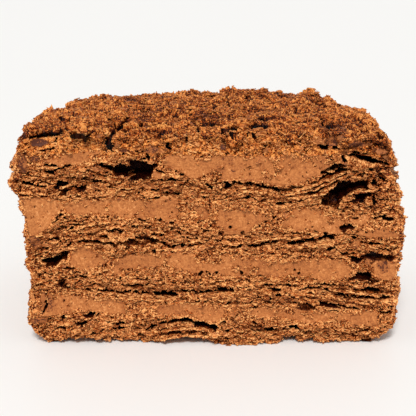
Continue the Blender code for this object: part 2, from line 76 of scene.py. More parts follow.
# The skins. Their points stand closer than the finest flakes.
SKIN_COUNTS = (500, 110, 160, 110)  # points along the front, the right side, the back and the left side
CRUST_COUNTS = (450, 125, 450, 125)
SIDE_EASE = 1.3  # above 1, the sides' points stand closer towards the cut face
ROW_STEP = {"pastry": 0.26, "cream": 0.31, "crust": 0.27}
CRUST_LIP, LIP_HEIGHT = 0.4, 3.0  # how far the crust hangs over the cream on the coated sides, and from where
RIM_TURN = 3.0  # over this height below the rim, the relief turns from outward to upward
RIM_UPWARD = 0.85  # as far as it turns: the sine of the angle
RIM_MOST, RIM_WIDENS = 1.0, 0.4  # lumps stand out this much at the rim, and this share of the way down more
RIM_ROW_MORE = 0.25  # how much more they stand out at each row of the crown's grid, away from its rim
SOLE_REACH, SOLE_RISE = (3.0, 9.0), 0.2  # the underside's edge runs in this far, and further under the cut face

# Relief, and the painted shade of cracks and hollows.
CROWN_LUMPS, WALL_LUMPS, COAT_LUMPS = 0.7, 0.3, 0.55  # how much of the lumps show
CROWN_FINE, COAT_FINE = 0.55, 0.55  # how much of the fine crumbs show
CORNER_CALM = 0.65  # how much less relief the ends of the cut face have
# The crown's darker tone is painted shade: it keeps the top, lit from above, from looking lighter than the front.
CRUST_LIGHTER, CROWN_PAINTED_SHADE, CRUMBS_LIGHTER = 0.9, 0.5, 0.3  # in tone
# The cracks' darkness is painted shade; CRACKS_DARK and CROWN_CRACKS_DARK scale it.
CRACKS_WIDER, CRACKS_DARK, CROWN_CRACKS_DARK = 1.45, 0.75, 0.55  # factors on what the tables say
CRACK_WANDER = 0.35  # how far cracks wander from their lines
CRACKS_END = (57.5, 61.5)  # the crust's cracks fade out over these distances from the middle
DARK_AT = 2.5  # a crack this deep gets full painted shade
DEEPEST, SHALLOW = 5.0, 1.5  # deeper cracks would fold the skin of the cut face and of the crown
DARKNESS = 2.8  # how much full painted shade counts against the depth of the relief
SMEAR_DARKER = 5.5  # how much a dark smear counts against the cream's tone

# Grains: their size, how much each stands out and slants, and how deep and how wide the gaps round them are.
CRUMBS = (1.15, 0.6, 0.6, 0.45, 0.35)
FINE_CRUMBS = (0.6, 0.42, 0.4, 0.25, 0.4)
LUMPS = (3.4, 0.9, 0.8, 0.7, 0.3)
SLABS = (8.0, 1.8, 2.4, 2.2, 0.14)
TORN = ((3.2, 3.2, 0.8), 1.3, 0.5, 0.6, 0.25)
TORN_SMALL = ((1.2, 1.2, 0.75), 0.5, 0.45, 0.3, 0.3)
TORN_FINE = ((0.65, 0.65, 0.52), 0.34, 0.32, 0.18, 0.4)
STRATA_GAP = 1.9  # how deep the gaps between the pastry's sheets are

CHIPS_CUT, CHIPS_COAT, CHIPS_TOP = 6000, 6500, 5000
FLAKES_CUT, FLAKES_FLAT, FLAKES_COAT, FLAKES_TOP = 6000, 1500, 1400, 1300
SINGLE_THICKNESS = 0.5  # of the single flakes
SHORTER_FROM, EDGE = 44.0, 59.0  # flakes get shorter from here to the edge, so that the outline is even
CUT_FROM = 0.97  # the least share of the cut where chips and flakes count as on the cut face
TOO_DEEP = -0.9  # no chip or flake lies where a crack or a pocket is this deep
SHEET_THICKNESS, SHEETS_OUT = 0.85, 0.9  # of the torn sheets, and how far out of the cut face they reach
SHEET_STEP, SHEET_ROWS = 0.4, 9  # their grids' step along the cut face, and rows into the cake
FLOOR_GAP = 0.03  # chips and flakes keep this far above the floor

# ---- Places read off the photo, in millimetres on the plane of the cut ---------------------------

# x is from the middle of the cut face, and z from the floor.

# Cracks and gaps in the cut face that are finer than the solid's: (x, z, x, z, width, depth).
CRACKS = (
    (-51, 75.4, -51.2, 73, 0.7, 2.5), (-62.6, 74.2, -60, 75, 0.7, 2), (-62.6, 70.4, -60.7, 70.4, 0.6, 2),
    (-57, 70.4, -51.6, 71.6, 0.4, 1.5), (-55.2, 66, -51, 65.6, 0.6, 2.5), (-55, 63.3, -46.5, 65.9, 0.8, 3),
    (-36.5, 65.9, -32.5, 64.6, 1.3, 4), (-41, 65.2, -41.2, 63.2, 0.6, 2), (-62.5, 59.4, -55, 58.4, 0.8, 3),
    (-40.2, 60.1, -35, 59.9, 0.6, 2.5), (-29.5, 57.2, -25, 57.1, 0.5, 2), (-54, 63.4, -52.2, 62.6, 1.2, 2.5),
    (-33.3, 74.4, -32.6, 71.3, 1.8, 4.5), (-33.4, 75.6, -33.2, 74.2, 2, 4.5), (-16, 60.4, -8.7, 60.4, 0.8, 4),
    (-16.3, 56.1, -9, 55.4, 0.8, 3.5), (-22.2, 54, -16.6, 54.3, 0.7, 3), (-5.6, 54.2, 0.6, 54.7, 0.7, 3),
    (-6, 58.8, -3.5, 59, 0.5, 2), (-0.5, 59.8, 1, 57.4, 0.7, 2.5), (4.6, 57.2, 9.2, 59.6, 1.2, 3),
    (10.5, 59.4, 20, 58.2, 1.2, 4.5), (20, 58.2, 25.2, 56.6, 1, 4), (11.2, 54.6, 16.6, 53.6, 0.8, 3.5),
    (21.2, 52, 27.5, 52.1, 0.7, 3.5), (27.5, 52.1, 34, 54, 0.6, 3.5), (28.6, 58.6, 30.6, 57.4, 0.8, 3),
    (37, 72.8, 40.4, 71.6, 1, 3.5), (42.2, 71.8, 43.4, 71.6, 0.8, 2.5), (47.4, 69.8, 56.4, 67.2, 2, 5),
    (57.4, 67.2, 61, 66.1, 0.7, 2.5), (57.2, 61.6, 60.4, 60.6, 0.4, 1.5), (45.4, 69.4, 46.8, 66, 0.9, 4),
    (38.6, 63.2, 44.9, 65.7, 1.6, 4.5), (-53.2, 45.2, -50.2, 48.4, 0.6, 2), (-49.6, 47.2, -47.6, 46.2, 0.5, 2),
    (-45.6, 45.3, -43, 46.1, 0.5, 2), (-54.6, 39.1, -51.2, 39.4, 0.8, 3), (-45.5, 38.4, -40.6, 38.8, 1, 4.5),
    (-40.6, 38.8, -35, 38, 0.9, 4.5), (-37.2, 40.4, -34.8, 39.8, 1.1, 3.5), (-34.8, 39.4, -33.4, 37.6, 1.3, 4.5),
    (-58.2, 32.6, -54, 30.4, 1.6, 4.5), (-53.2, 31.8, -49.4, 34.8, 1.6, 4.5), (-50.6, 29, -46.6, 28.6, 0.5, 2),
    (-45.2, 25.4, -39.4, 25.2, 0.7, 2.5), (-26, 44, -24, 44.3, 0.8, 2.5), (-13.6, 36.3, -5, 36.9, 1, 4),
    (-5, 37.2, 0.6, 39, 0.9, 3.5), (8, 36.6, 14.2, 36.8, 0.8, 3), (14.2, 36.6, 24, 38.6, 1, 4.5),
    (28.2, 38, 34, 38.2, 1, 4.5), (34, 38.9, 42, 40.2, 1.1, 5), (42, 39.4, 50.6, 39.7, 0.8, 4),
    (41, 35.6, 44.6, 36, 0.8, 3), (46.6, 33.6, 51.2, 34.2, 0.6, 2.5), (56.6, 37.4, 60.4, 37.7, 0.5, 2),
    (60, 46.9, 63.6, 46.6, 0.7, 2.5), (46, 43.4, 50.4, 44.2, 1, 3.5), (-39.2, 20.4, -33, 20, 0.8, 4),
    (-33, 19.9, -23, 19.3, 1.3, 5), (-23, 19.6, -11, 18.9, 1.7, 5), (-10.6, 20.2, -4, 20.2, 0.9, 4),
    (-5, 19.2, 2, 20.4, 0.9, 4.5), (2, 20.4, 10.4, 20.2, 0.8, 4), (21, 20.8, 25.4, 20.3, 1.1, 4),
    (21.2, 17, 25.4, 18.2, 0.9, 3.5), (-7.6, 15.9, 3, 15.8, 0.5, 3), (3, 15.5, 15.6, 15.8, 0.5, 3),
    (14.8, 14.8, 17, 14.2, 0.6, 2), (31, 21.8, 40.4, 20.8, 0.7, 3), (40, 20.8, 43, 20.4, 0.8, 4.5),
    (43, 20.3, 55, 20, 0.9, 5), (44.6, 18.9, 50.4, 18, 0.8, 4.5), (50.4, 17.9, 60, 17.4, 0.9, 4.5),
    (60, 17.4, 64.6, 18, 0.7, 3.5), (54.4, 20.6, 59.8, 20.2, 1.3, 4), (47.6, 14.2, 53.6, 13.4, 0.6, 2.5),
    (29.4, 15.8, 32.2, 15.5, 0.7, 2.5), (36, 22.6, 47, 22.2, 0.5, 2), (24, 22.4, 33, 22.8, 0.5, 2),
    (-17.2, 7.6, -10, 9.1, 1.3, 4.5), (-10, 9.1, -5, 8.1, 2.2, 5), (-5, 7.9, 2.8, 6, 2.1, 5),
    (-8.2, 6.1, 2.6, 4.9, 1.5, 4), (-14.2, 3.7, -4.8, 4.5, 0.7, 3), (4, 7.4, 6.4, 8.2, 0.9, 2.5),
    (15.2, 5.1, 24, 5.7, 0.8, 4.5), (24, 5.8, 32.4, 6, 0.8, 4.5), (32.4, 5.4, 38, 4.4, 0.5, 2.5),
    (-37.5, 8.2, -30.4, 7.6, 0.8, 2.5), (-33.6, 6.1, -29.4, 5.9, 0.7, 2.5), (-42.4, 11.4, -39, 11.6, 1.2, 4),
    (-48, 61.4, -44.4, 61.7, 0.5, 2), (-42, 61.2, -40.6, 61.5, 0.5, 2), (-38.5, 62.6, -33.2, 61.6, 0.5, 2.5),
    (-29.2, 69.6, -26.8, 69.6, 0.4, 2), (-24.4, 70.6, -22, 70.6, 0.4, 2), (-23, 67.8, -21, 67.9, 0.4, 2),
    (-20.4, 69.4, -20, 68, 1, 3), (-12.5, 73, -14.5, 72.3, 1, 2.5), (-14.2, 71.8, -12.9, 71.4, 0.9, 2.5),
    (-9.2, 62.5, -7.2, 61.2, 0.7, 2.5), (-17.2, 64.2, -15.4, 63.2, 0.5, 2), (-19.4, 60.2, -15.4, 60.5, 0.6, 3),
    (-14.4, 58.7, -11, 59.2, 0.5, 2.5), (-17.8, 56.8, -16.3, 57.7, 0.5, 2), (-3.7, 58.8, -2.5, 58.8, 0.5, 2),
    (4.2, 59.4, 7.4, 59.9, 0.4, 2), (5.7, 54, 7, 54.8, 0.4, 2), (19.4, 72.6, 18.4, 71, 0.5, 2),
    (50.9, 62.3, 52.2, 62.8, 0.4, 2), (52.2, 62.8, 54.2, 62.5, 0.4, 2), (54.8, 64.8, 55.5, 63.6, 0.4, 2),
    (56.6, 54.8, 57, 51.6, 0.5, 2), (-46, 44.7, -44, 44.8, 0.8, 3), (-47.3, 43.3, -46, 43.5, 0.5, 2),
    (-52, 42.6, -50, 43.7, 0.7, 2.5), (-54.4, 41.7, -53.4, 42.1, 0.5, 2), (-52.5, 44, -50.6, 45.3, 0.5, 2.5),
    (-43.5, 47.5, -41.2, 47.3, 0.4, 1.5), (-38.4, 42.4, -35.2, 42.7, 0.5, 2), (-34.4, 42.1, -30.6, 42.5, 0.7, 2.5),
    (-31, 41.4, -29.8, 42.1, 0.6, 2.5), (-24, 46.5, -20.7, 45.5, 0.5, 2.5), (-51.4, 38, -49, 38.3, 0.5, 2),
    (-53.5, 36, -49.8, 36.4, 0.5, 2), (-49.8, 36.4, -47.2, 37.6, 0.5, 2), (-56.8, 36, -55.4, 35.9, 0.7, 2.5),
    (-19.4, 41.2, -17.8, 41.5, 0.9, 2.5), (-17, 40.8, -15.8, 40.8, 0.5, 2), (-14, 43, -12, 43, 0.4, 1.5),
    (-10.9, 41.8, -9.5, 41.6, 1, 3), (-9.6, 41.6, -8.8, 40.2, 0.7, 3), (-8.8, 40.1, -3.4, 39.4, 0.5, 2.5),
    (-13.2, 45.2, -12, 45.3, 0.5, 2), (17.6, 44, 18.3, 44.8, 0.5, 2), (19.6, 45.8, 20.6, 45.8, 0.4, 1.5),
    (-15.8, 38.3, -14.3, 38, 0.7, 2.5), (-14, 38, -10.6, 38, 0.4, 2), (-14, 34.2, -12.6, 34.6, 0.5, 2),
    (-19, 34.3, -16.2, 34.4, 0.35, 1.5), (25.4, 40.6, 27, 40.8, 0.5, 2), (53, 38.8, 55, 38.1, 0.5, 2),
    (55.4, 37.9, 59.4, 37.5, 0.6, 2.5), (59.8, 35.6, 63.2, 35.6, 0.4, 2), (64, 35.4, 66.2, 37, 0.8, 2.5),
    (49.6, 46.9, 51.4, 46.8, 0.35, 1.5), (57, 46.8, 59.4, 47.4, 0.4, 2), (59.4, 47.4, 61, 48.2, 0.4, 2),
    (39.4, 40.7, 41, 41.4, 0.7, 2.5), (42.2, 40.6, 44.4, 40.8, 0.5, 2), (35.4, 42.5, 38, 41.5, 0.4, 1.5),
    (45.6, 49.6, 46.8, 49.9, 0.5, 2), (-61.9, 27.2, -59.7, 26.9, 0.6, 2), (-57.4, 27.3, -56, 26.3, 0.6, 2),
    (-52.9, 27, -51.3, 27.3, 0.6, 2), (-46.2, 27.3, -44.8, 26.9, 0.5, 2), (-40.3, 26.2, -38.6, 25.8, 0.8, 2.5),
    (-49, 25, -45.8, 25.2, 0.5, 2.5), (-55.6, 24.1, -52.2, 24, 0.5, 2), (-37.8, 24, -36.2, 23.9, 0.5, 2),
    (-37.2, 20.5, -35.2, 21.3, 0.4, 2), (-40.2, 19.2, -36.4, 18.1, 0.5, 2.5), (-32.4, 25.4, -30.2, 25, 0.5, 2),
    (-30.6, 24.5, -30.3, 23, 0.6, 2), (-30, 22, -20.5, 22.5, 0.9, 4), (-27.2, 21.2, -24.8, 21.4, 0.5, 2),
    (-42, 4.1, -39.6, 3.6, 0.7, 2), (-52.2, 10.4, -50.2, 9.8, 0.8, 2), (-58.2, 12, -57, 13.4, 0.4, 1.5),
    (-57, 13.4, -56.2, 15.4, 0.5, 2), (-56.2, 15.4, -57.2, 16.5, 0.4, 1.5), (-23.6, 24.5, -20.2, 24.5, 0.5, 2),
    (-18, 24.3, -13.4, 24.6, 0.4, 2), (-13, 23.4, -10.8, 23, 0.4, 2), (0.4, 22, 7.4, 21.6, 0.5, 2.5),
    (10.2, 21.4, 15, 21.2, 0.5, 2.5), (19, 22.4, 25, 22.4, 0.8, 3), (17, 17.4, 18.8, 17.6, 0.6, 2),
    (21.6, 14, 25, 14, 0.5, 2), (-21.6, 5.4, -18.6, 7.4, 1, 3.5), (15.4, 8.3, 17.4, 7.6, 0.8, 2),
    (26.6, 22.2, 29.2, 22.5, 1, 2.5), (46.6, 22.3, 49.8, 22.1, 0.5, 2), (42.4, 12.8, 46, 12.6, 0.4, 1.5),
    (61, 12.2, 64.2, 12.2, 0.5, 2), (28.4, 6.6, 32.8, 6.7, 0.5, 2), (22, 6.4, 24.8, 6.7, 0.4, 2),
    (-3.2, 26, -2, 27.4, 0.5, 2), (-0.6, 27.6, 1, 26.2, 0.5, 2), (2.4, 26, 3, 27, 0.6, 2),
    (11.2, 27.6, 12, 26.2, 0.5, 2),
)
# Pits in the cut face: (x, z, radius).
PITS = (
    (-34.2, 65.2, 0.8), (-34.3, 63.4, 0.5), (-32.8, 61.8, 0.4), (-47, 71.6, 0.4), (-10.6, 63.8, 0.35),
    (4.2, 54.2, 0.5), (-49.2, 43.8, 0.4), (-38.2, 47.2, 0.5), (-36.3, 47.5, 0.35), (-34.6, 47.5, 0.35),
    (-20.3, 44, 0.45), (-18.3, 46.4, 0.5), (-16.6, 46.4, 0.55), (-8.5, 42.7, 0.4), (-5.6, 42.5, 0.5),
    (-3.5, 45.7, 0.4), (-1.8, 45.9, 0.45), (1.3, 44.4, 0.4), (8, 43.7, 0.4), (11.8, 41.8, 0.6), (22.8, 47.4, 0.5),
    (63.4, 38.3, 0.5), (54.4, 42.1, 0.4), (-43.8, 26.1, 0.6), (-42.2, 26.1, 0.6), (-37.4, 26.6, 0.45),
    (-38.7, 22.5, 0.7), (-21, 25.4, 0.5), (-2.6, 24.2, 0.5), (5, 5.7, 0.5), (18.6, 1.6, 0.5), (64.8, 14.2, 0.5),
    (63, 5.6, 0.4), (31.6, 26.6, 0.5), (38.6, 23.4, 0.4), (40.2, 23.1, 0.4), (30.2, 28, 0.35), (-23.6, 55.7, 0.5),
    (-27, 55, 0.5), (7, 4.8, 0.4),
)
CRACKS += tuple((x - 0.2, z, x + 0.2, z, 1.4 * radius, 2.5) for x, z, radius in PITS)
# Where the knife has wiped the cream smooth: outlines (x, z). The rest is crumbs and flakes.
WIPED = (
    (
        (-55.5, 67.4), (-51.5, 68.2), (-48.5, 69.2), (-44, 70), (-40, 70.4), (-35.8, 70.8), (-36.2, 69.6),
        (-39.6, 69.2), (-41.5, 68.2), (-41, 67.4), (-44.2, 66.5), (-47, 66.3), (-49.6, 65.5), (-51.5, 66.2),
        (-54.5, 66.5),
    ),
    (
        (-15.2, 67.9), (-13, 69.3), (-9, 69.4), (-5.2, 69.2), (-4.4, 67.9), (-1, 67.6), (0.5, 68.8), (4, 68.8),
        (8, 69.3), (10.2, 68.6), (12, 68.1), (15, 68.2), (17, 69), (20.5, 69.2), (21.2, 67.4), (23.6, 67.6),
        (25, 69.2), (28.5, 69.7), (30.5, 68.6), (32, 67.6), (35.2, 67.8), (36, 69.3), (40, 69.3), (44.4, 68.6),
        (45.8, 66.8), (45, 65), (43, 63.7), (40, 62.6), (37, 62), (34.5, 60.9), (31.5, 59.6), (29, 58.6),
        (27.4, 57.8), (25, 58.3), (22, 58.9), (20, 60), (14, 60.5), (9, 60.6), (4.5, 60.9), (3, 63.2), (0.6, 63),
        (-1.8, 61.6), (-3.4, 60.9), (-6.4, 61.2), (-8.6, 63), (-10.4, 64.2), (-12.8, 65), (-15.4, 65.6),
    ),
    (
        (-63.4, 53.4), (-61, 53.9), (-58, 54), (-54, 53.2), (-52, 52.8), (-50.2, 52.8), (-50.1, 50.4),
        (-51.8, 48.5), (-53.6, 45.6), (-54.6, 43.4), (-57.5, 41.8), (-60.5, 40.8), (-61.6, 41.4), (-62.6, 45),
    ),
    (
        (-49.8, 52.7), (-45, 52.5), (-43.6, 53.5), (-38, 53.4), (-33, 54), (-29, 53.8), (-25, 53.7), (-21.5, 53.2),
        (-18, 53.4), (-16.4, 54.4), (-13.7, 54.8), (-10.3, 54.4), (-9.8, 51.6), (-10.2, 47), (-12.3, 45.4),
        (-14.8, 46.3), (-19.3, 46.9), (-21.4, 46), (-24.4, 46.8), (-26.6, 47.2), (-29.5, 46.8), (-32, 47.8),
        (-34.6, 48.3), (-38, 48.6), (-42.8, 48.3), (-45.2, 47.9), (-47.6, 48.6), (-49.4, 50.6),
    ),
    ((-4.3, 50.6), (-1.4, 51), (0, 50), (0.2, 47), (-1.4, 46.8), (-3, 48.2)),
    (
        (4.5, 50.2), (9.8, 49.6), (14.6, 49.6), (16.4, 48.4), (19.6, 48.4), (20.4, 46.2), (18, 45.2), (15.6, 44.6),
        (14.2, 41.8), (11.5, 40.8), (8, 40.4), (5.6, 41), (5.2, 43.5), (2.2, 45.3), (3.2, 48.2),
    ),
    (
        (28.6, 47.4), (29.2, 50), (33, 50.3), (36.5, 50.2), (39.6, 49.8), (38.2, 48.3), (41.5, 47.6), (44.5, 47),
        (46.8, 45.8), (49, 45.6), (50, 47.6), (53.4, 48.4), (55.2, 47.2), (55, 45.2), (53, 44.4), (50.6, 44.8),
        (46.2, 44.8), (46, 42.7), (44.8, 41.3), (42.3, 41), (40.4, 41.5), (38.5, 41), (36.3, 42), (34, 43.1),
        (30.5, 42.3), (27.6, 43), (25.3, 44.6),
    ),
    (
        (51.4, 42.6), (54.6, 42), (57.5, 42.6), (61, 42.6), (64, 42), (65.6, 41), (64.6, 40), (59, 39.6), (55, 40),
        (51.6, 40.6),
    ),
    (
        (-47.4, 34.2), (-45.5, 36.4), (-42.5, 36.6), (-40.5, 35.4), (-37.6, 34.4), (-35.2, 33.2), (-34.8, 31.2),
        (-36.2, 29.6), (-38.5, 29.4), (-40.5, 28.4), (-43, 28), (-45.2, 28.4), (-47, 29.8), (-48.4, 31.6),
    ),
    (
        (-33.5, 28.4), (-30.4, 32.4), (-27.5, 33.4), (-21, 33.9), (-15.2, 33.9), (-15, 30), (-19, 29), (-24, 29),
        (-27, 28.2), (-30, 28.4), (-30.2, 26.2), (-33.3, 26.2),
    ),
    (
        (-13.6, 33.6), (-11.4, 35), (-8.5, 35.2), (-5.2, 34.6), (-5, 31.6), (-4.6, 30.2), (-1, 30.6), (3, 30.2),
        (5, 31), (5, 33.5), (7.5, 33.2), (10, 33.6), (11.5, 31.6), (15, 31.8), (18, 32), (21, 31.2), (26.5, 31.3),
        (30, 30.6), (32.2, 31.5), (35, 31.8), (39.6, 32.1), (44.2, 31.8), (47.2, 30.8), (49.4, 29), (49.9, 25.8),
        (47.6, 25.3), (44.4, 25), (40.5, 24.2), (36.4, 24.7), (32.4, 25.6), (29.4, 26.1), (23.6, 25.6), (18, 26.2),
        (9, 26), (3, 26.2), (-5, 26.8), (-8, 27.8), (-12.5, 28.8), (-14.2, 30),
    ),
    (
        (57.4, 29.6), (58.5, 31.6), (61.5, 31.4), (64.8, 30.2), (65.4, 27), (65, 25), (62, 24.2), (59.6, 24.8),
        (57.8, 26.8),
    ),
    (
        (-54, 18.6), (-50, 18.2), (-46, 18), (-42, 17.4), (-38, 16.6), (-34, 16.8), (-30, 16.6), (-29, 14.5),
        (-29.4, 11.8), (-33, 11.4), (-37.6, 12.4), (-42.2, 12.2), (-43.6, 12.8), (-46.5, 13.2), (-50, 12.8),
        (-53.6, 11.2), (-57.4, 10.4), (-58.2, 11.6), (-56.2, 14.4), (-54.8, 15.2),
    ),
    (
        (-18.6, 11.2), (-19, 13.4), (-17, 14.8), (-12, 15.2), (-6, 15.4), (0, 14.6), (5, 14.4), (6, 12.6),
        (5.6, 10.6), (3, 8.6), (0, 8.8), (-3, 9.4), (-6, 10.4), (-10, 11.4), (-15, 11),
    ),
    (
        (15, 13.2), (17.5, 14), (21, 13.6), (28, 13.4), (31.6, 13.8), (35.2, 13.2), (38, 12.8), (40.4, 11.4),
        (42.4, 12.2), (45, 11.9), (50, 11.9), (53.5, 11.4), (55.2, 12.7), (59.6, 12.5), (60.2, 9), (59.8, 6.6),
        (56.8, 7), (53.4, 7.7), (50, 7.4), (44.8, 8.2), (40, 7.8), (34.8, 8), (30, 9.6), (25.2, 10), (20, 9.6),
        (15.6, 10.8),
    ),
)
# Places in the wiped cream that are full of crumbs: (x, z, half width, half height).
CRUMBY = (
    (2.5, 62.8, 2.4, 1.8), (23.2, 64.5, 1.2, 3.4), (18.6, 63.1, 1.2, 0.7), (5, 65, 0.6, 0.6),
    (21.2, 61.4, 0.8, 0.9), (-34.5, 50.6, 1, 1.4), (-24.2, 48.8, 0.5, 1.2), (16.6, 27.6, 1.4, 1.6),
    (9.8, 28.4, 1.4, 1.2), (-7.6, 34.4, 0.9, 0.8), (-7.6, 12.6, 0.8, 0.7), (-6, 11.6, 0.9, 0.6),
    (2.8, 13.6, 0.9, 0.4), (29, 12.6, 1.8, 1.2), (34.6, 11.4, 0.9, 1.2), (44, 8.2, 8, 0.7), (42, 67.5, 2.6, 1.6),
)
# Where something smooth is smeared over pastry: (x, z, half width, half height, how dark it is).
SMEARS = (
    (-56.6, 73.4, 3, 1.3, 1), (-62.6, 66.6, 1.7, 3, 0.9), (-59, 68, 1.6, 1.2, 0.8), (-19, 71.4, 2.4, 1.6, 0.6),
    (5, 72, 1, 1, 0.9), (5, 68, 0.8, 0.5, 1), (8.7, 63.6, 0.9, 0.3, 1), (50, 73, 3.4, 1.3, 0.9),
    (41.4, 73.8, 2, 1.6, 0.7), (58.5, 33.3, 5, 1.1, 0.9), (-59.8, 38, 2, 2.6, 0.6), (-59.6, 8.8, 2.6, 1.2, 0.8),
    (-57, 14, 2.4, 1.8, 0.3), (58.6, 70.4, 2.2, 1.2, 0.7), (-46, 67.9, 5, 1.7, 0.35), (61, 29.4, 3, 2.6, 0.8),
    (-20, 58.3, 3, 1.2, 0.4), (-28.6, 71.2, 1.8, 0.9, 0.6), (-60.6, 38.6, 1.2, 2.2, 0.7), (-58, 17, 0.9, 2.2, 0.3),
    (-55.4, 17.2, 0.8, 2, 0.4), (51.3, 37.3, 1.8, 1.7, 0.55), (33.2, 68.8, 1.4, 0.8, 0.5),
    (55.6, 31, 1.3, 1.6, 0.6), (-37.6, 64.2, 2.2, 0.9, 0.35), (-54, 37.2, 1.6, 0.8, 0),
    (43.4, 34.6, 2.2, 0.9, 0.15), (-17.2, 62.2, 1.6, 1.4, 0.1),
)
# Broad painted light and shade, with some own tone, on the cut face and the crown: (x, z, half width, half height,
# how much lighter).
PAINTED_LIGHT_AND_TONE = (
    (41.5, 76.5, 5, 5.5, -1.1), (54, 71.5, 8, 3.2, -1.5), (58.5, 66.5, 4, 4.5, -1.2), (58.5, 56, 4.5, 8, -0.6),
    (60, 70.5, 3, 3, -0.8), (-19.5, 79.5, 4, 4, -0.35), (0.5, 81.8, 6.5, 2.6, -1.1), (17.5, 80.3, 4, 2.4, -0.9),
    (-52.5, 77, 2.5, 1.8, -0.6), (-42.5, 77.2, 5, 2.4, 0.6), (-29, 73, 8, 2.5, -0.6), (-16, 84.5, 6, 2.6, -0.7),
    (-26, 89, 4, 2, -0.5), (27.5, 89.5, 3, 2, -0.5), (-42, 60.6, 5, 2, -0.6), (-26, 60.8, 4, 2, -0.6),
    (-59.5, 32.5, 3.5, 4, -0.6), (-46, 39.2, 8, 2, -0.5), (34, 39.2, 4, 2, -0.6), (54, 39, 8, 2, -0.4),
    (25, 17, 10, 1.8, -0.7), (-19, 7.5, 3.5, 2.2, -0.8), (17, 7.5, 4.5, 2.2, -0.7), (47.3, 21.4, 3.5, 2, -0.8),
    (-17.7, 71, 7, 3.4, -0.8), (-36.5, 63.5, 4.5, 3, -1.1), (-13.5, 59.8, 7, 3, -0.8), (-49.5, 58.4, 4.5, 2.2, -1),
    (10, 58.2, 10, 2, -0.3), (57.5, 30.5, 5, 4, -0.8), (-49.5, 28, 3.5, 2.2, -0.6), (-19, 19.6, 10, 2.4, -1.1),
    (58, 21.5, 4.5, 4.5, -0.9), (-8, 5, 12, 2.2, -1.1), (21, 5.4, 7, 1.8, -0.9), (58, 40, 5, 3, -0.2),
    (-60, 26, 3, 5, -0.2), (-36, 83.5, 9, 5, 0.35), (10.5, 75.2, 4, 2.2, 0.35), (30, 75, 3.5, 2.4, 0.3),
    (-49.5, 72, 3.5, 2.2, 0.25), (-24, 42.5, 3.5, 2.2, 0.4), (17, 42.5, 3.5, 2.2, 0.35), (-46, 42.5, 6, 2, 0.3),
    (-29.5, 38.4, 3.5, 2, 0.3), (37.5, 54.4, 3.5, 2.2, 0.35), (41, 25.6, 5, 2, 0.3), (-36, 30, 3.5, 2.2, 0.3),
    (-49.5, 34, 3.5, 2.2, 0.3),
)
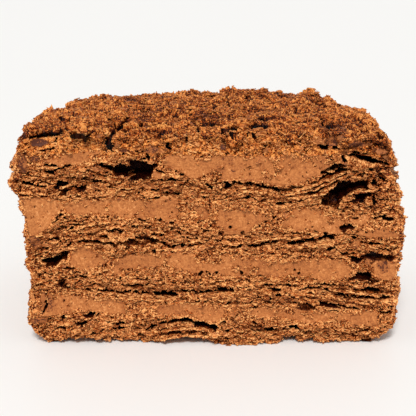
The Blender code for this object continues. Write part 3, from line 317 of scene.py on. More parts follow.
# Mouths of the air pockets: corners (x, z), how deep they are, and how dark their painted shade gets.
MOUTHS = (
    ((
        (-32.6, 64.2), (-31, 65.4), (-30, 66.3), (-28.9, 66.2), (-27.6, 65), (-26.8, 65.8), (-26.5, 67.3),
        (-24, 67.4), (-21, 66.9), (-19.5, 66.3), (-17, 65.8), (-18.5, 64.1), (-19.3, 62.4), (-19.2, 61.4),
        (-22, 60.9), (-27, 61.1), (-29.5, 61.9), (-31.6, 62.4),
    ), 9, 1),
    ((
        (40.2, 55.7), (42, 57), (44.5, 59.4), (46.6, 60.3), (49, 60.2), (51.6, 59.8), (54.5, 60.1), (54.4, 57.9),
        (51, 57.7), (49.2, 56.6), (46.8, 55.2), (44.6, 53.8), (42.6, 54.6),
    ), 7, 1),
    (((39, 55), (41, 55.6), (45, 54.2), (44.8, 51.6), (42, 51.2), (38.8, 52)), 3, 0.55),
    ((
        (50.4, 56.2), (53.5, 56.3), (58.5, 57.4), (56, 56), (54, 55.1), (52.6, 53), (51.4, 53.7), (48.2, 53.4),
        (50.4, 54.6),
    ), 5, 1),
    ((
        (37.6, 61.4), (41.4, 62.6), (44, 64.4), (45.4, 66.2), (47, 66), (47.2, 63.6), (45, 62), (41.6, 60.9),
        (38.6, 59.8),
    ), 4.5, 0.85),
    ((
        (-56.5, 33.2), (-54.3, 34), (-54.8, 32.5), (-52.8, 31.3), (-51.9, 32.9), (-50.2, 32.9), (-48.6, 35.2),
        (-48.9, 32), (-51.2, 32), (-52.6, 29.9), (-54.5, 29.5), (-56.6, 28.8), (-56.2, 31),
    ), 5, 1),
    (((49.6, 32.8), (51.6, 32.4), (54.8, 33.8), (53.2, 31.4), (52, 30.4), (51, 31.4), (49.8, 31.4)), 5, 1),
    ((
        (52.4, 27.6), (54, 26.6), (56.8, 27.3), (56.8, 25.8), (58.8, 24.2), (54.5, 24.7), (51.6, 25), (48.6, 24),
        (51.6, 26.2),
    ), 4, 0.9),
    ((
        (-51.6, 59.9), (-49.6, 60.2), (-47.6, 59.7), (-47.4, 59), (-49.6, 58.9), (-51.4, 57.6), (-52.2, 58.6),
    ), 4, 1),
    (((-50.8, 57.2), (-47.6, 58.2), (-46.6, 57.2), (-47.4, 56.2), (-50, 56.4)), 2.5, 0.6),
    (((-45.4, 57.4), (-42.6, 58.6), (-41.2, 58.6), (-41.4, 57.4), (-43.6, 56.7)), 3.5, 0.9),
    ((
        (-33, 38.6), (-30.5, 39.4), (-27, 40), (-22, 40.2), (-18, 39.2), (-15.2, 38.2), (-16.5, 37.4), (-20, 37.6),
        (-24, 37.6), (-28, 37.8), (-31, 37.6), (-32.8, 36.6),
    ), 1.6, 0.5),
    ((
        (-52.4, 24.6), (-50.6, 25), (-48.8, 24.2), (-48.2, 22), (-49.4, 21.4), (-51, 22.4), (-52.6, 23.2),
    ), 2.5, 0.65),
    (((30.6, 15.2), (34, 15.6), (38, 15), (37.4, 13.8), (34.6, 13.2), (31.6, 14)), 1.5, 0.5),
    (((39.6, 15.2), (43, 15.9), (45.4, 15.8), (47.4, 14.6), (46.6, 13.9), (43.8, 14.3), (41, 14.6)), 3.5, 0.85),
    ((
        (54, 32.8), (54.8, 33.7), (57.5, 34.6), (60, 34.3), (61.8, 33.3), (64, 34.2), (64.6, 33.2), (64, 31.8),
        (61, 32.2), (58, 32), (56, 32.6),
    ), 1.6, 0.65),
    ((
        (27, 58), (33, 58.8), (38, 60.8), (45, 64), (48, 63.6), (45.6, 61), (41, 57.6), (36, 55.4), (30, 53.8),
        (24, 54.6), (24, 57),
    ), 1.3, 0.4),
    (((46, 43), (47, 44.6), (49.6, 44.5), (50.6, 43.4), (49.4, 43.2), (48.2, 43.6), (47.2, 42.5)), 3.5, 1),
    (((-44.4, 11.8), (-41.4, 11.6), (-39.2, 11.9), (-40.6, 10.4), (-42.6, 10.5)), 4, 1),
    (((-46.2, 8.6), (-43.4, 8.4), (-43, 7.4), (-44.6, 6.4), (-46.4, 7.4)), 4, 1),
)
# Cracks in the crown, as the camera sees them on the plane of the cut: (x, z, x, z, width, depth).
CROWN_CRACKS = (
    (-62.2, 75.3, -57.5, 75.8, 0.8, 3), (-57.5, 75.8, -53.7, 76.9, 1.5, 4), (-53.7, 76.9, -50, 77, 1.5, 4),
    (-50, 77, -47.3, 78.3, 1.2, 3.5), (-47.3, 78, -44.9, 76.9, 0.6, 3), (-44.9, 76.9, -39.5, 76.4, 1.1, 3.5),
    (-36, 76.4, -34.2, 76.9, 0.8, 3), (-33.5, 75.5, -31.6, 77.2, 1.9, 4), (-31.6, 77.2, -28, 79.7, 1.6, 4),
    (-24, 79.1, -22.2, 79.4, 0.4, 2), (-5.3, 81.1, -3, 77.3, 0.6, 2), (-49.6, 82.4, -48.3, 81.7, 0.7, 1.6),
    (4.2, 78.3, 6.4, 77.6, 1.1, 4.5), (6.4, 77.6, 9.6, 78.9, 1.1, 4.5), (14.9, 79.4, 17.5, 78.9, 0.9, 4.5),
    (17.5, 78.9, 20.2, 79.4, 0.9, 4.5), (16.3, 82.7, 18.3, 82.1, 0.8, 2), (37.5, 81.8, 38.9, 79.1, 0.8, 2.5),
    (38.9, 79.1, 42.4, 78.7, 1.3, 4), (45, 83, 48, 82, 0.6, 2), (-18, 80.5, -14, 79.8, 0.5, 2),
    (50, 77.6, 54, 76.6, 0.6, 2),
)
# Thin sheets that show edge on: points (x, z) along them, and how far they reach into the cake.
SHEETS = (
    (((28, 57.2), (32, 57.6), (36, 58.9), (40, 60.5), (44, 62.3), (47.4, 63.6)), 6),
    (((24, 56.2), (28.5, 55.8), (33, 56.6), (37, 57.9), (41, 59.6), (45, 61.3), (48.4, 62.2)), 6),
    (((26, 54.2), (31, 54.4), (36, 55.4), (39.5, 56.6), (42, 58.2), (44.6, 59.8)), 5),
    (((47, 54.6), (49.4, 56.3), (52, 56.6), (55, 56.8), (59, 57.6)), 5),
    (((-51.4, 57), (-49.4, 57.9), (-47, 58.6), (-45.2, 59)), 4),
    (((-19, 58.2), (-16, 58.6), (-12, 59.4), (-8.5, 58.9)), 4),
    (((-17, 4.4), (-12, 5.9), (-6, 6.1), (-1, 5.5), (3, 4.4)), 5),
    (((-18, 1.4), (-13, 3), (-7, 3.4), (-1, 3.2), (3, 2)), 5),
    (((30, 19.6), (36, 19.4), (42, 18.6), (48, 17.2), (54, 16.2), (60, 16)), 5),
    (((42, 20.9), (47, 20.3), (52, 19.6), (58, 19), (62, 19.2)), 5),
    (((-40, 18.6), (-34, 18.4), (-28, 17.6), (-20, 17.2), (-12, 17.4)), 4),
    (((-44, 40), (-40, 40.2), (-36, 39.2), (-33, 38.6)), 4),
    (((12, 38.2), (18, 39), (24, 39.9), (29, 39.6), (34, 40.4), (40, 41.6)), 4),
    (((28, 36.6), (34, 37), (40, 38), (46, 38.2)), 4),
    (((10, 56.6), (16, 56.8), (21, 55.6), (26, 54.6)), 4),
)
# The lower edge of the cut face, whose arches stand off the floor: points (x, z).
BASE = (
    (-66, 2.6), (-58, 2.6), (-55, 1.6), (-52.4, 0.7), (-50.8, 1.4), (-48, 2), (-45, 2.3), (-42, 2.5), (-40, 1.6),
    (-37.8, 1.1), (-32.4, 1.2), (-27.5, 0.8), (-24.4, 0), (-16.5, 0), (-14, 1.7), (-12.3, 2.3), (-5.5, 2.4),
    (-1, 2), (1.9, 1), (2.4, 0), (24.6, 0), (25.2, 0.9), (26.6, 2.1), (30.4, 2.3), (31.4, 1.1), (33.6, 0.7),
    (34.8, 2.1), (36.6, 2.1), (37.6, 1), (42, 0.5), (45.3, 1.1), (50.2, 0.4), (55, 0.7), (61, 1.6), (66, 3),
)
# Single flakes on the cut face: (x, z, length, width).
PLATES = (
    (36.6, 74.6, 5.4, 3.2), (44, 75.4, 3.4, 2.4), (8.4, 12, 5, 3.4), (51.4, 37.6, 2.8, 2.4), (12.6, 36.2, 3, 1.8),
    (-38, 64.2, 4, 1.6), (-21, 58, 5, 1.8), (27, 48, 2.6, 3.2), (-30.5, 73, 3, 2.2), (22, 23.8, 5, 1.2),
    (-2, 36, 3.4, 2), (60, 68.6, 2.6, 2.2), (-61.6, 17.6, 1.6, 4.6), (43, 34.8, 4, 1.4), (-56, 37, 3.4, 1.6),
    (62.4, 5.4, 4, 1.6),
)


# ---- Noise -------------------------------------------------------------------------------------

CELL_CORNERS = [(i, j, k) for i in (0, 1) for j in (0, 1) for k in (0, 1)]
PRIMES = (374761393, 668265263, 2246822519, 3266489917)
LOW_32, LOW_24 = 0xFFFFFFFF, 0xFFFFFF


def hashed(ix, iy, iz, seed):
    """A number from 0 to 1 for each lattice point."""
    a, b, c, d = PRIMES
    h = (ix.astype(np.int64) * a + iy.astype(np.int64) * b) & LOW_32
    h = (h + iz.astype(np.int64) * c + seed * d) & LOW_32
    h = ((h ^ (h >> 15)) * c) & LOW_32
    h = ((h ^ (h >> 13)) * d) & LOW_32
    return ((h ^ (h >> 16)) & LOW_24) / float(LOW_24)


def waves(p, size, seed=0):
    """Smooth noise from -1 to 1 at points p, with waves of this size (one number or one for each axis)."""
    q = p / np.asarray(size, float) + 137.31 * (seed % 17)
    base = np.floor(q).astype(np.int64)
    f = q - base
    f = f * f * f * (f * (f * 6 - 15) + 10)
    total = np.zeros(len(p))
    for corner in CELL_CORNERS:
        weight = np.ones(len(p))
        for axis in range(3):
            weight *= f[:, axis] if corner[axis] else 1 - f[:, axis]
        total += weight * hashed(*(base + np.array(corner)).T, seed)
    return total * 2 - 1


def layered_waves(p, size, octaves, seed=0):
    """Waves of several sizes, each half of the last."""
    size = np.asarray(size, float)
    parts = [waves(p, size / 2**i, seed + 31 * i) / 2**i for i in range(octaves)]
    return sum(parts) / (2 - 0.5 ** (octaves - 1))


def bent_by(p, reach, size, seeds):
    """The points moved by waves of this reach and size, with a seed for each axis."""
    return p + reach * np.stack([waves(p, size, seed) for seed in seeds], -1)


def flat_points(p, q):
    """Points of a plane, for the noise functions."""
    return np.stack([p, q, 0 * p], -1)


def grains(p, size, seed=0):
    """Random cells of this size: (how deep inside its cell a point is, the cell's own number, its facet).

    The facet is a slant of the cell's own, from -1 to 1, which makes broken lumps of the cells.
    """
    q = p / np.asarray(size, float)
    base = np.floor(q - 0.5).astype(np.int64)
    near, second = np.full(len(p), 9.0), np.full(len(p), 9.0)
    number, facet = np.zeros(len(p)), np.zeros(len(p))
    for corner in CELL_CORNERS:
        cell = (base + np.array(corner)).T
        away = [q[:, i] - (cell[i] + 0.5 + 0.8 * (hashed(*cell, seed + 7 * i + 1) - 0.5)) for i in range(3)]
        distance = np.sqrt(away[0] ** 2 + away[1] ** 2 + away[2] ** 2)
        closer = distance < near
        second = np.where(closer, near, np.minimum(second, distance))
        near = np.where(closer, distance, near)
        slant = sum((hashed(*cell, seed + 50 + i) - 0.5) * away[i] for i in range(3)) * 2.4
        number = np.where(closer, hashed(*cell, seed + 90), number)
        facet = np.where(closer, slant, facet)
    return np.clip((second - near) * 1.6, 0, 1), number, facet


def broken(p, grain, seed, gappy=1.0):
    """(height, the grain's own number) of broken grains at points p. There are no gaps where gappy is 0."""
    size, rise, slope, gap, gap_width = grain
    deep, own, facet = grains(p, size, seed)
    return rise * (own - 0.5) + slope * facet - gap * gappy * (1 - between(0.0, gap_width, deep)), own


def between(low, high, x):
    """0 below low, 1 above high, with an S curve from one to the other. It also runs down, from high to low."""
    t = np.clip((x - low) / (high - low), 0, 1)
    return t * t * (3 - 2 * t)


def blurred(grid, rows, columns, wrap=True):
    """The grid blurred twice by a box that reaches this many rows and columns either way."""
    out = np.asarray(grid, float)
    for axis, reach in ((0, rows), (1, columns)):
        for _ in range(2 if reach else 0):
            width = 2 * reach + 1
            pad = [(0, 0)] * out.ndim
            pad[axis] = (reach + 1, reach)
            padded = np.pad(out, pad, mode="wrap" if wrap and axis == 1 else "edge")
            sums = np.cumsum(padded, axis=axis)
            count = sums.shape[axis]
            high = np.take(sums, range(width, count), axis=axis)
            low = np.take(sums, range(0, count - width), axis=axis)
            out = (high - low) / width
    return out


def blurred_line(line, reach, wrap=True):
    """A single row, blurred in the same way."""
    return blurred(line[None], 0, reach, wrap)[0]


def unit(v):
    return v / np.linalg.norm(v, axis=-1, keepdims=True)


# ---- Reading the solids ------------------------------------------------------------------------


def tree_of(names):
    """A search tree over these solids in millimetres, and which of the names each face belongs to."""
    points, faces, owner = [], [], []
    for i, name in enumerate(names):
        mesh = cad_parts[name].data
        start = len(points)
        points += [v.co / MM for v in mesh.vertices]
        for polygon in mesh.polygons:
            faces.append([start + v for v in polygon.vertices])
            owner.append(i)
    return BVHTree.FromPolygons(points, faces), owner


class Ring:
    """A closed line of points round the cake, whose plan follows the walls at every height."""

    # From the front left anticlockwise: 1 at the left wall, 1 at the front wall, and the corner's radius.
    CORNERS = ((1, 1, FRONT_CORNER), (0, 1, FRONT_CORNER), (0, 0, BACK_CORNER), (1, 0, BACK_CORNER))

    def __init__(self, counts, walls, tree):
        self.counts, self.walls = counts, walls
        side = DEPTH - FRONT_CORNER - BACK_CORNER
        spans = (WIDTH - 2 * FRONT_CORNER, side, WIDTH - 2 * BACK_CORNER, side)
        rows = []
        for number, (count, span) in enumerate(zip(counts, spans)):
            first, last = self.CORNERS[number], self.CORNERS[(number + 1) % 4]
            for i in range(count):
                share = i / count
                if number == 1:
                    share = share**SIDE_EASE
                elif number == 3:
                    share = 1 - (1 - share) ** SIDE_EASE
                rows.append(self.on_side(first, last, 90 * number - 135, span, share))
        self.left, self.dx, self.front, self.dy, self.nx, self.ny = np.array(rows).T
        self.size = len(rows)
        self.cut = between(0.55, 0.95, -self.ny)  # 1 on the cut face, 0 on the coated sides
        self.coat = self.read_coat(tree)

    @classmethod
    def on_side(cls, first, last, angle, span, share):
        """What one point of the ring is made of, at this share of the way from corner to corner."""
        into, out = first[2] * math.pi / 4, last[2] * math.pi / 4
        way = (into + span + out) * share
        if way < into:
            return cls.on_corner(first, angle + 45 * way / into)
        if way > into + span:
            return cls.on_corner(last, angle + 45 + 45 * (way - into - span) / out)
        a, b = cls.on_corner(first, angle + 45), cls.on_corner(last, angle + 45)
        t = (way - into) / span
        return [(1 - t) * m + t * n for m, n in zip(a, b)]

    @staticmethod
    def on_corner(corner, degrees):
        left, front, radius = corner
        c, s = math.cos(math.radians(degrees)), math.sin(math.radians(degrees))
        return [left, radius * (c + (1 if left else -1)), front, radius * (s + (1 if front else -1)), c, s]

    def points(self, z):
        """The ring's plan at heights z, of shape (..., size)."""
        x = self.left * np.interp(z, *self.walls["left"]) + (1 - self.left) * np.interp(z, *self.walls["right"])
        y = self.front * FACE_Y + (1 - self.front) * np.interp(z, *self.walls["back"])
        return np.stack([x + self.dx, y + self.dy, z + 0 * x], -1)

    def outward(self, shape=()):
        """The way out at every point."""
        return np.broadcast_to(np.stack([self.nx, self.ny, 0 * self.nx], -1), shape + (self.size, 3))

    def cast(self, tree, z):
        """How far outside the plan the solid's wall is at heights z, and which face it is, or nan and -1."""
        starts = self.points(z).reshape(-1, 3)
        outward = self.outward(z.shape[:-1]).reshape(-1, 3)
        offsets, faces = np.full(len(starts), np.nan), np.full(len(starts), -1)
        for i, (start, out) in enumerate(zip(starts + outward * RAY_START, outward)):
            hit = tree.ray_cast(Vector(start), Vector(-out), RAY_REACH)
            if hit[0] is not None:
                offsets[i], faces[i] = RAY_START - hit[3], hit[2]
        return offsets.reshape(z.shape), faces.reshape(z.shape)

    def read_coat(self, tree):
        """How far out the coated walls are, at heights COAT_STEP apart, without the steps between the solids."""
        heights = np.arange(COAT_STEP / 2, HIGHEST, COAT_STEP)[:, None] + 0 * self.cut
        offset = np.maximum(np.nan_to_num(filled(self.cast(tree, heights)[0]), nan=-RIM_BACK), -RIM_BACK)
        # A ray that slips in between two solids is made up for by the row beneath.
        return blurred(np.maximum(offset, np.roll(offset, 1, axis=0)), 2, 6)

    def coat_at(self, z):
        """The coated walls' offsets at heights z."""
        place = np.clip(z / COAT_STEP - 0.5, 0, len(self.coat) - 1.001)
        row, column = place.astype(int), np.arange(self.size)
        lower, upper = self.coat[row, column], self.coat[row + 1, column]
        return lower + (place - row) * (upper - lower)


def filled(values):
    """The values, with those that are missing taken from their neighbours round the ring."""
    out = values.copy().reshape(-1, values.shape[-1])
    for row in out:
        known = np.flatnonzero(~np.isnan(row))
        if len(known):
            n = len(row)
            xs = np.concatenate([known - n, known, known + n])
            row[:] = np.interp(np.arange(n), xs, np.tile(row[known], 3))
    return out.reshape(values.shape)


def read_walls(tree):
    """Where the left, right and back walls are at each height, half way along them."""
    heights = np.arange(0.4, HIGHEST, 0.5)
    rays = {
        "left": ((-90.0, 5.0), (1, 0)), "right": ((90.0, 5.0), (-1, 0)), "back": ((MIDDLE_X, 70.0), (0, -1)),
    }
    walls = {}
    for side, ((x, y), (dx, dy)) in rays.items():
        found = []
        for z in heights:
            place = tree.ray_cast(Vector((x, y, z)), Vector((dx, dy, 0)), 60.0)[0]
            found.append(np.nan if place is None else (place.y if side == "back" else place.x))
        found = np.array(found)
        known = ~np.isnan(found) & (heights < LEANS_ABOVE)
        found = np.interp(heights, heights[known], found[known])
        walls[side] = (heights, np.convolve(np.pad(found, 3, mode="edge"), np.ones(7) / 7, mode="valid"))
    return walls


def read_seams(ring, tree, owner):
    """Heights of the underside, every seam and the rim of the crown, each all round the ring."""
    heights = np.arange(0.15, HIGHEST, SEAM_STEP)
    offset, faces = ring.cast(tree, np.repeat(heights[:, None], ring.size, axis=1))
    node = np.where(faces >= 0, np.array(owner + [-1])[faces], -1)
    rows = []
    for level in range(len(LAYERS) + 1):
        below, above = node == level - 1, node == level
        if level == len(LAYERS):
            below = below & (offset > -RIM_BACK)
        top = np.where(below.any(0), len(heights) - 1 - below[::-1].argmax(0), -1)
        bottom = np.where(above.any(0), above.argmax(0), -1)
        if level == 0:
            row = np.where(bottom <= 0, 0.0, heights[bottom] - SEAM_EDGE)
        elif level == len(LAYERS):
            row = np.where(top < 0, np.nan, heights[top] + SEAM_EDGE)
        else:
            row = np.where((top < 0) | (bottom < 0), np.nan, (heights[top] + heights[bottom]) / 2)
        row = filled(row[None])[0]
        windows = np.stack([np.roll(row, shift) for shift in range(-4, 5)])
        rows.append(blurred_line(np.median(windows, axis=0), 4))
    x = ring.points(rows[0])[:, 0] - MIDDLE_X
    rows[0] = np.maximum(rows[0], ring.cut * np.interp(x, *np.array(BASE).T))
    return np.array(rows)


# ---- Places on the cut face --------------------------------------------------------------------


def as_seen(points):
    """Where the camera sees the points on the plane of the cut: x from its middle, and z."""
    nearer = CAMERA_BACK / (points[:, 1] - FACE_Y + CAMERA_BACK)
    return (points[:, 0] - MIDDLE_X) * nearer, CAMERA_UP + (points[:, 2] - CAMERA_UP) * nearer


def crack_depths(points):
    """How deep the cracks are at these points."""
    p, q = as_seen(points)
    flat = flat_points(p, q)
    p = p + CRACK_WANDER * (waves(flat, 1.7, 81) + 0.6 * waves(flat, 0.7, 82))
    q = q + 0.7 * CRACK_WANDER * (waves(flat, 2.6, 83) + 0.6 * waves(flat, 0.8, 84))
    depth = np.zeros(len(p))
    for p0, q0, p1, q1, width, deep in CRACKS + CROWN_CRACKS:
        width = width * CRACKS_WIDER
        reach = width + 0.6
        box = (p > min(p0, p1) - reach) & (p < max(p0, p1) + reach)
        box &= (q > min(q0, q1) - reach) & (q < max(q0, q1) + reach)
        near = np.flatnonzero(box)
        if not len(near):
            continue
        dx, dy = p1 - p0, q1 - q0
        t = np.clip(((p[near] - p0) * dx + (q[near] - q0) * dy) / (dx * dx + dy * dy), 0, 1)
        away = np.hypot(p[near] - p0 - t * dx, q[near] - q0 - t * dy)
        # Half of the width, which narrows to the crack's ends and varies along it.
        half = width / 2 * (0.55 + 0.45 * np.sqrt(np.clip(4 * t * (1 - t), 0, 1)))
        half *= 1 + 0.45 * waves(flat[near], 2.4, 85)
        depth[near] = np.maximum(depth[near], deep * (1 - between(0.75 * half, half + 0.15, away)))
    return depth


def in_places(p, q, places, seed, core=0.8):
    """How far inside the ragged ellipses points (p, q) are, from 0 to 1, for each ellipse in turn."""
    flat = flat_points(p, q)
    ragged = 0.35 * waves(flat, 2.2, seed) + 0.3 * waves(flat, 0.9, seed + 1)
    for x, z, half_x, half_z, *more in places:
        away = np.hypot((p - x) / half_x, (q - z) / half_z) + ragged
        yield 1 - between(core, 1.4 - core / 2, away), more


def painted_light_and_tone(points):
    """How much lighter the pastry and the crumbs are painted at these points: painted light and shade, with some
    own tone.
    """
    return sum(share * lighter for share, (lighter,) in in_places(*as_seen(points), PAINTED_LIGHT_AND_TONE, 78, 0.3))


def within(p, q, corners):
    """How far inside the outline points (p, q) are, or less than 0 outside it."""
    inside = np.zeros(len(p), bool)
    away = np.full(len(p), 99.0)
    for (p0, q0), (p1, q1) in zip(corners, corners[1:] + corners[:1]):
        dp, dq = p1 - p0, q1 - q0
        crosses = (q0 > q) != (q1 > q)
        inside ^= crosses & (p < p0 + dp * (q - q0) / (dq if dq else 1.0))
        t = np.clip(((p - p0) * dp + (q - q0) * dq) / (dp * dp + dq * dq), 0, 1)
        away = np.minimum(away, np.hypot(p - p0 - t * dp, q - q0 - t * dq))
    return np.where(inside, away, -away)


def share_within(p, q, corners, low, high):
    """How far inside the outline points (p, q) are: 0 at low and 1 at high, which are up to 1 mm outside it."""
    share = np.zeros(len(p))
    (p0, q0), (p1, q1) = np.min(corners, axis=0) - 1, np.max(corners, axis=0) + 1
    near = np.flatnonzero((p > p0) & (p < p1) & (q > q0) & (q < q1))
    share[near] = between(low, high, within(p[near], q[near], corners))
    return share


def mouth_depths(p, q):
    """(how deep, how dark with painted shade) the air pockets make points (p, q) of the cut face."""
    flat = flat_points(p, q)
    p = p + 0.35 * waves(flat, 1.3, 83)
    q = q + 0.3 * waves(flat, 1.3, 84)
    depth, dark = np.zeros(len(p)), np.zeros(len(p))
    for corners, deep, darkness in MOUTHS:
        depth = np.maximum(depth, deep * share_within(p, q, corners, -0.15, 0.4))
        # The floor of a pocket is seen from above, so it is painted in shade from its front edge on.
        dark = np.maximum(dark, darkness * share_within(p, q + 0.35, corners, -0.5, 0.3))
    return depth, dark


def wiped_share(x, z, p, seed):
    """How much of the cut face at (x, z) is smooth cream, less the single crumbs that lie in it."""
    flat = flat_points(x, z)
    x = x + 0.5 * waves(flat, 1.7, 61) + 0.3 * waves(flat, 0.7, 62)
    z = z + 0.4 * waves(flat, 1.7, 63) + 0.3 * waves(flat, 0.7, 64)
    share = np.zeros(len(x))
    for corners in WIPED:
        share = np.maximum(share, share_within(x, z, corners, -0.2, 0.25))
    for size, rare in ((1.3, 0.965), (0.75, 0.95)):
        deep, own, _ = grains(p, size, seed + 40 + int(10 * size))
        share = np.minimum(share, 1 - (own > rare) * between(0.1, 0.3, deep))
    return share


# ---- Relief ------------------------------------------------------------------------------------


def crumb_relief(p, coarse, fine=1.0, seed=7):
    """(height in mm, tone) of broken crumbs at points p. coarse adds lumps of several millimetres."""
    small, small_own = broken(p, CRUMBS, seed)
    smallest, smallest_own = broken(p, FINE_CRUMBS, seed + 5)
    bent = bent_by(p, 0.8, 2.0, (seed + 1, seed + 2, seed + 3))
    lumps, lump_own = broken(bent, LUMPS, seed + 9, between(-0.1, 0.5, waves(p, 6.0, seed + 16)))
    bent = bent_by(p, 1.6, 4.0, (seed + 4, seed + 5, seed + 6))
    slabs, slab_own = broken(bent, SLABS, seed + 13, between(-0.2, 0.5, waves(p, 9.0, seed + 15)))
    tone = 0.35 * small_own + 0.3 * smallest_own + 0.15 * lump_own + 0.2 * slab_own
    return fine * (small + smallest) + coarse * (lumps + slabs), tone


def strata_relief(p, layer_height, seed):
    """(height in mm, tone) of torn sheets of pastry seen edge on. layer_height is measured within the layer."""
    bent = p.copy()
    bent[:, 2] = layer_height + 0.9 * waves(p, (11.0, 11.0, 60.0), seed + 3) + 0.4 * waves(p, 2.3, seed + 4)
    sheets = layered_waves(bent, (4.5, 4.5, 1.0), 2, seed)
    torn, torn_own = broken(bent, TORN, seed + 21)
    small, small_own = broken(p, TORN_SMALL, seed + 23)
    fine, fine_own = broken(p, TORN_FINE, seed + 25)
    height = 0.4 * between(-0.3, 0.5, sheets) - STRATA_GAP * between(0.42, 0.62, -sheets) + torn + small + fine
    return height, 0.4 * torn_own + 0.35 * small_own + 0.25 * fine_own


def cream_relief(p, seed):
    """(height in mm, tone from -1 to 1) of cream that a knife has wiped."""
    height = 0.25 * layered_waves(p, 5.0, 2, seed) + 0.08 * waves(p, (0.8, 0.8, 5.0), seed + 4)
    height += 0.05 * waves(p, 0.6, seed + 2)
    deep, own, _ = grains(p, 1.7, seed + 8)
    pit = (own > 0.985) * between(0.35, 0.8, deep)
    slanted = p.copy()
    slanted[:, 0] += 0.45 * p[:, 2]
    drags = waves(slanted, (0.8, 0.8, 6.0), seed + 7)
    tone = layered_waves(p, 3.0, 2, seed + 6) + 0.8 * waves(p, (14.0, 14.0, 5.0), seed + 12) + 1.3 * drags
    return height - 0.35 * pit, tone


def lumpiness(turned):
    """How much of the lumps the crust has, where it has turned this far from wall to crown."""
    return WALL_LUMPS + (CROWN_LUMPS - WALL_LUMPS) * turned


def cut_relief(kind, p, seen, layer_height, turned, corner, seed):
    """(height, tone, crumbs, dark) of a layer's cut face. crumbs is 1 for pastry and 0 for cream; dark is the
    cracks' painted shade.
    """
    x, z = p[:, 0] - MIDDLE_X, p[:, 2]
    if kind == "crust":
        height, tone = crumb_relief(seen, lumpiness(turned))
        # Towards the crown the crust is painted darker: painted shade on the top.
        tone = tone + CRUST_LIGHTER - (CRUST_LIGHTER + CROWN_PAINTED_SHADE) * turned
    elif kind == "pastry":
        height, tone = strata_relief(p, layer_height, seed)
    else:
        height, tone = crumb_relief(p, WALL_LUMPS, seed=seed)
        height, tone = 0.3 + 0.7 * height, tone + CRUMBS_LIGHTER
    crumbs = 1 - wiped_share(x, z, p, seed)
    for share, _ in in_places(x, z, CRUMBY, 71):
        crumbs = np.maximum(crumbs, share)
    smear, darker = np.zeros(len(p)), np.zeros(len(p))
    for share, (dark,) in in_places(x, z, SMEARS, 75):
        smear = np.maximum(smear, share)
        darker = np.maximum(darker, share * dark)
    crumbs = np.minimum(crumbs, 1 - smear)
    cream, cream_tone = cream_relief(p, seed)
    height = cream * (1 - crumbs) + height * crumbs
    tone = (cream_tone - SMEAR_DARKER * darker) * (1 - crumbs) + (tone + painted_light_and_tone(seen)) * crumbs
    cracks = crack_depths(seen) * (1 - corner)
    if kind == "crust":
        height = np.where(turned > 0, np.minimum(height, RIM_MOST), height)
        cracks *= 1 - between(*CRACKS_END, np.abs(x))
    height = height - np.minimum(cracks, DEEPEST - (DEEPEST - SHALLOW) * turned)
    return height, tone, crumbs, np.clip(cracks / DARK_AT, 0, 1)


def shading(height, dark, columns, wrap=True):
    """What the material knows of the relief: how far points stand out among those near, for painted highlights and
    shade, and among those further off, less the painted shade of cracks and pockets.
    """
    relief = height - blurred(height, 3, columns, wrap)
    return relief, height - blurred(height, 9, 3 * columns, wrap) - DARKNESS * dark


# ---- Skins -------------------------------------------------------------------------------------


def calmed(offset, z, high, cut, kind):
    """The solid's wall without its steps. Its pockets in the cut face are left to their own mouths."""
    floor = -HOLLOWS - MORE_LOW * (1 - between(0.0, LOW, z))
    if kind == "crust":
        floor = floor - 40 * (1 - between(1.0, 4.0, high - z))  # nothing is a pocket next to the rim
    offset = np.where(cut > 0.5, np.maximum(offset, floor), offset)
    if kind == "cream":
        soft = blurred(offset, 3, 5)
    else:
        soft = blurred(offset, 4, 3)
        soft = soft + (offset - soft) * 0.3
    return cut * soft + (1 - cut) * blurred(offset, 9, 6)


def wall_offsets(ring, tree, kind, z, low, high):
    """How far out one layer's wall is at heights z. On the coated sides it runs on from layer to layer."""
    ray_z = np.clip(z, low + RAY_MARGIN, np.maximum(high - RAY_MARGIN, (low + high) / 2))
    offset = calmed(filled(ring.cast(tree, ray_z)[0]), z, high, ring.cut, kind)
    coated = 1 - ring.cut
    if kind != "crust":
        return offset + coated * (ring.coat_at(z) - offset)
    offset = np.minimum(offset, RIM_MOST + RIM_WIDENS * (high - z) + 9 * coated)
    offset = offset + coated * between(2.0, 6.0, high - z) * (ring.coat_at(z) - offset)
    return offset + CRUST_LIP * coated * between(LIP_HEIGHT, 0.0, z - low)


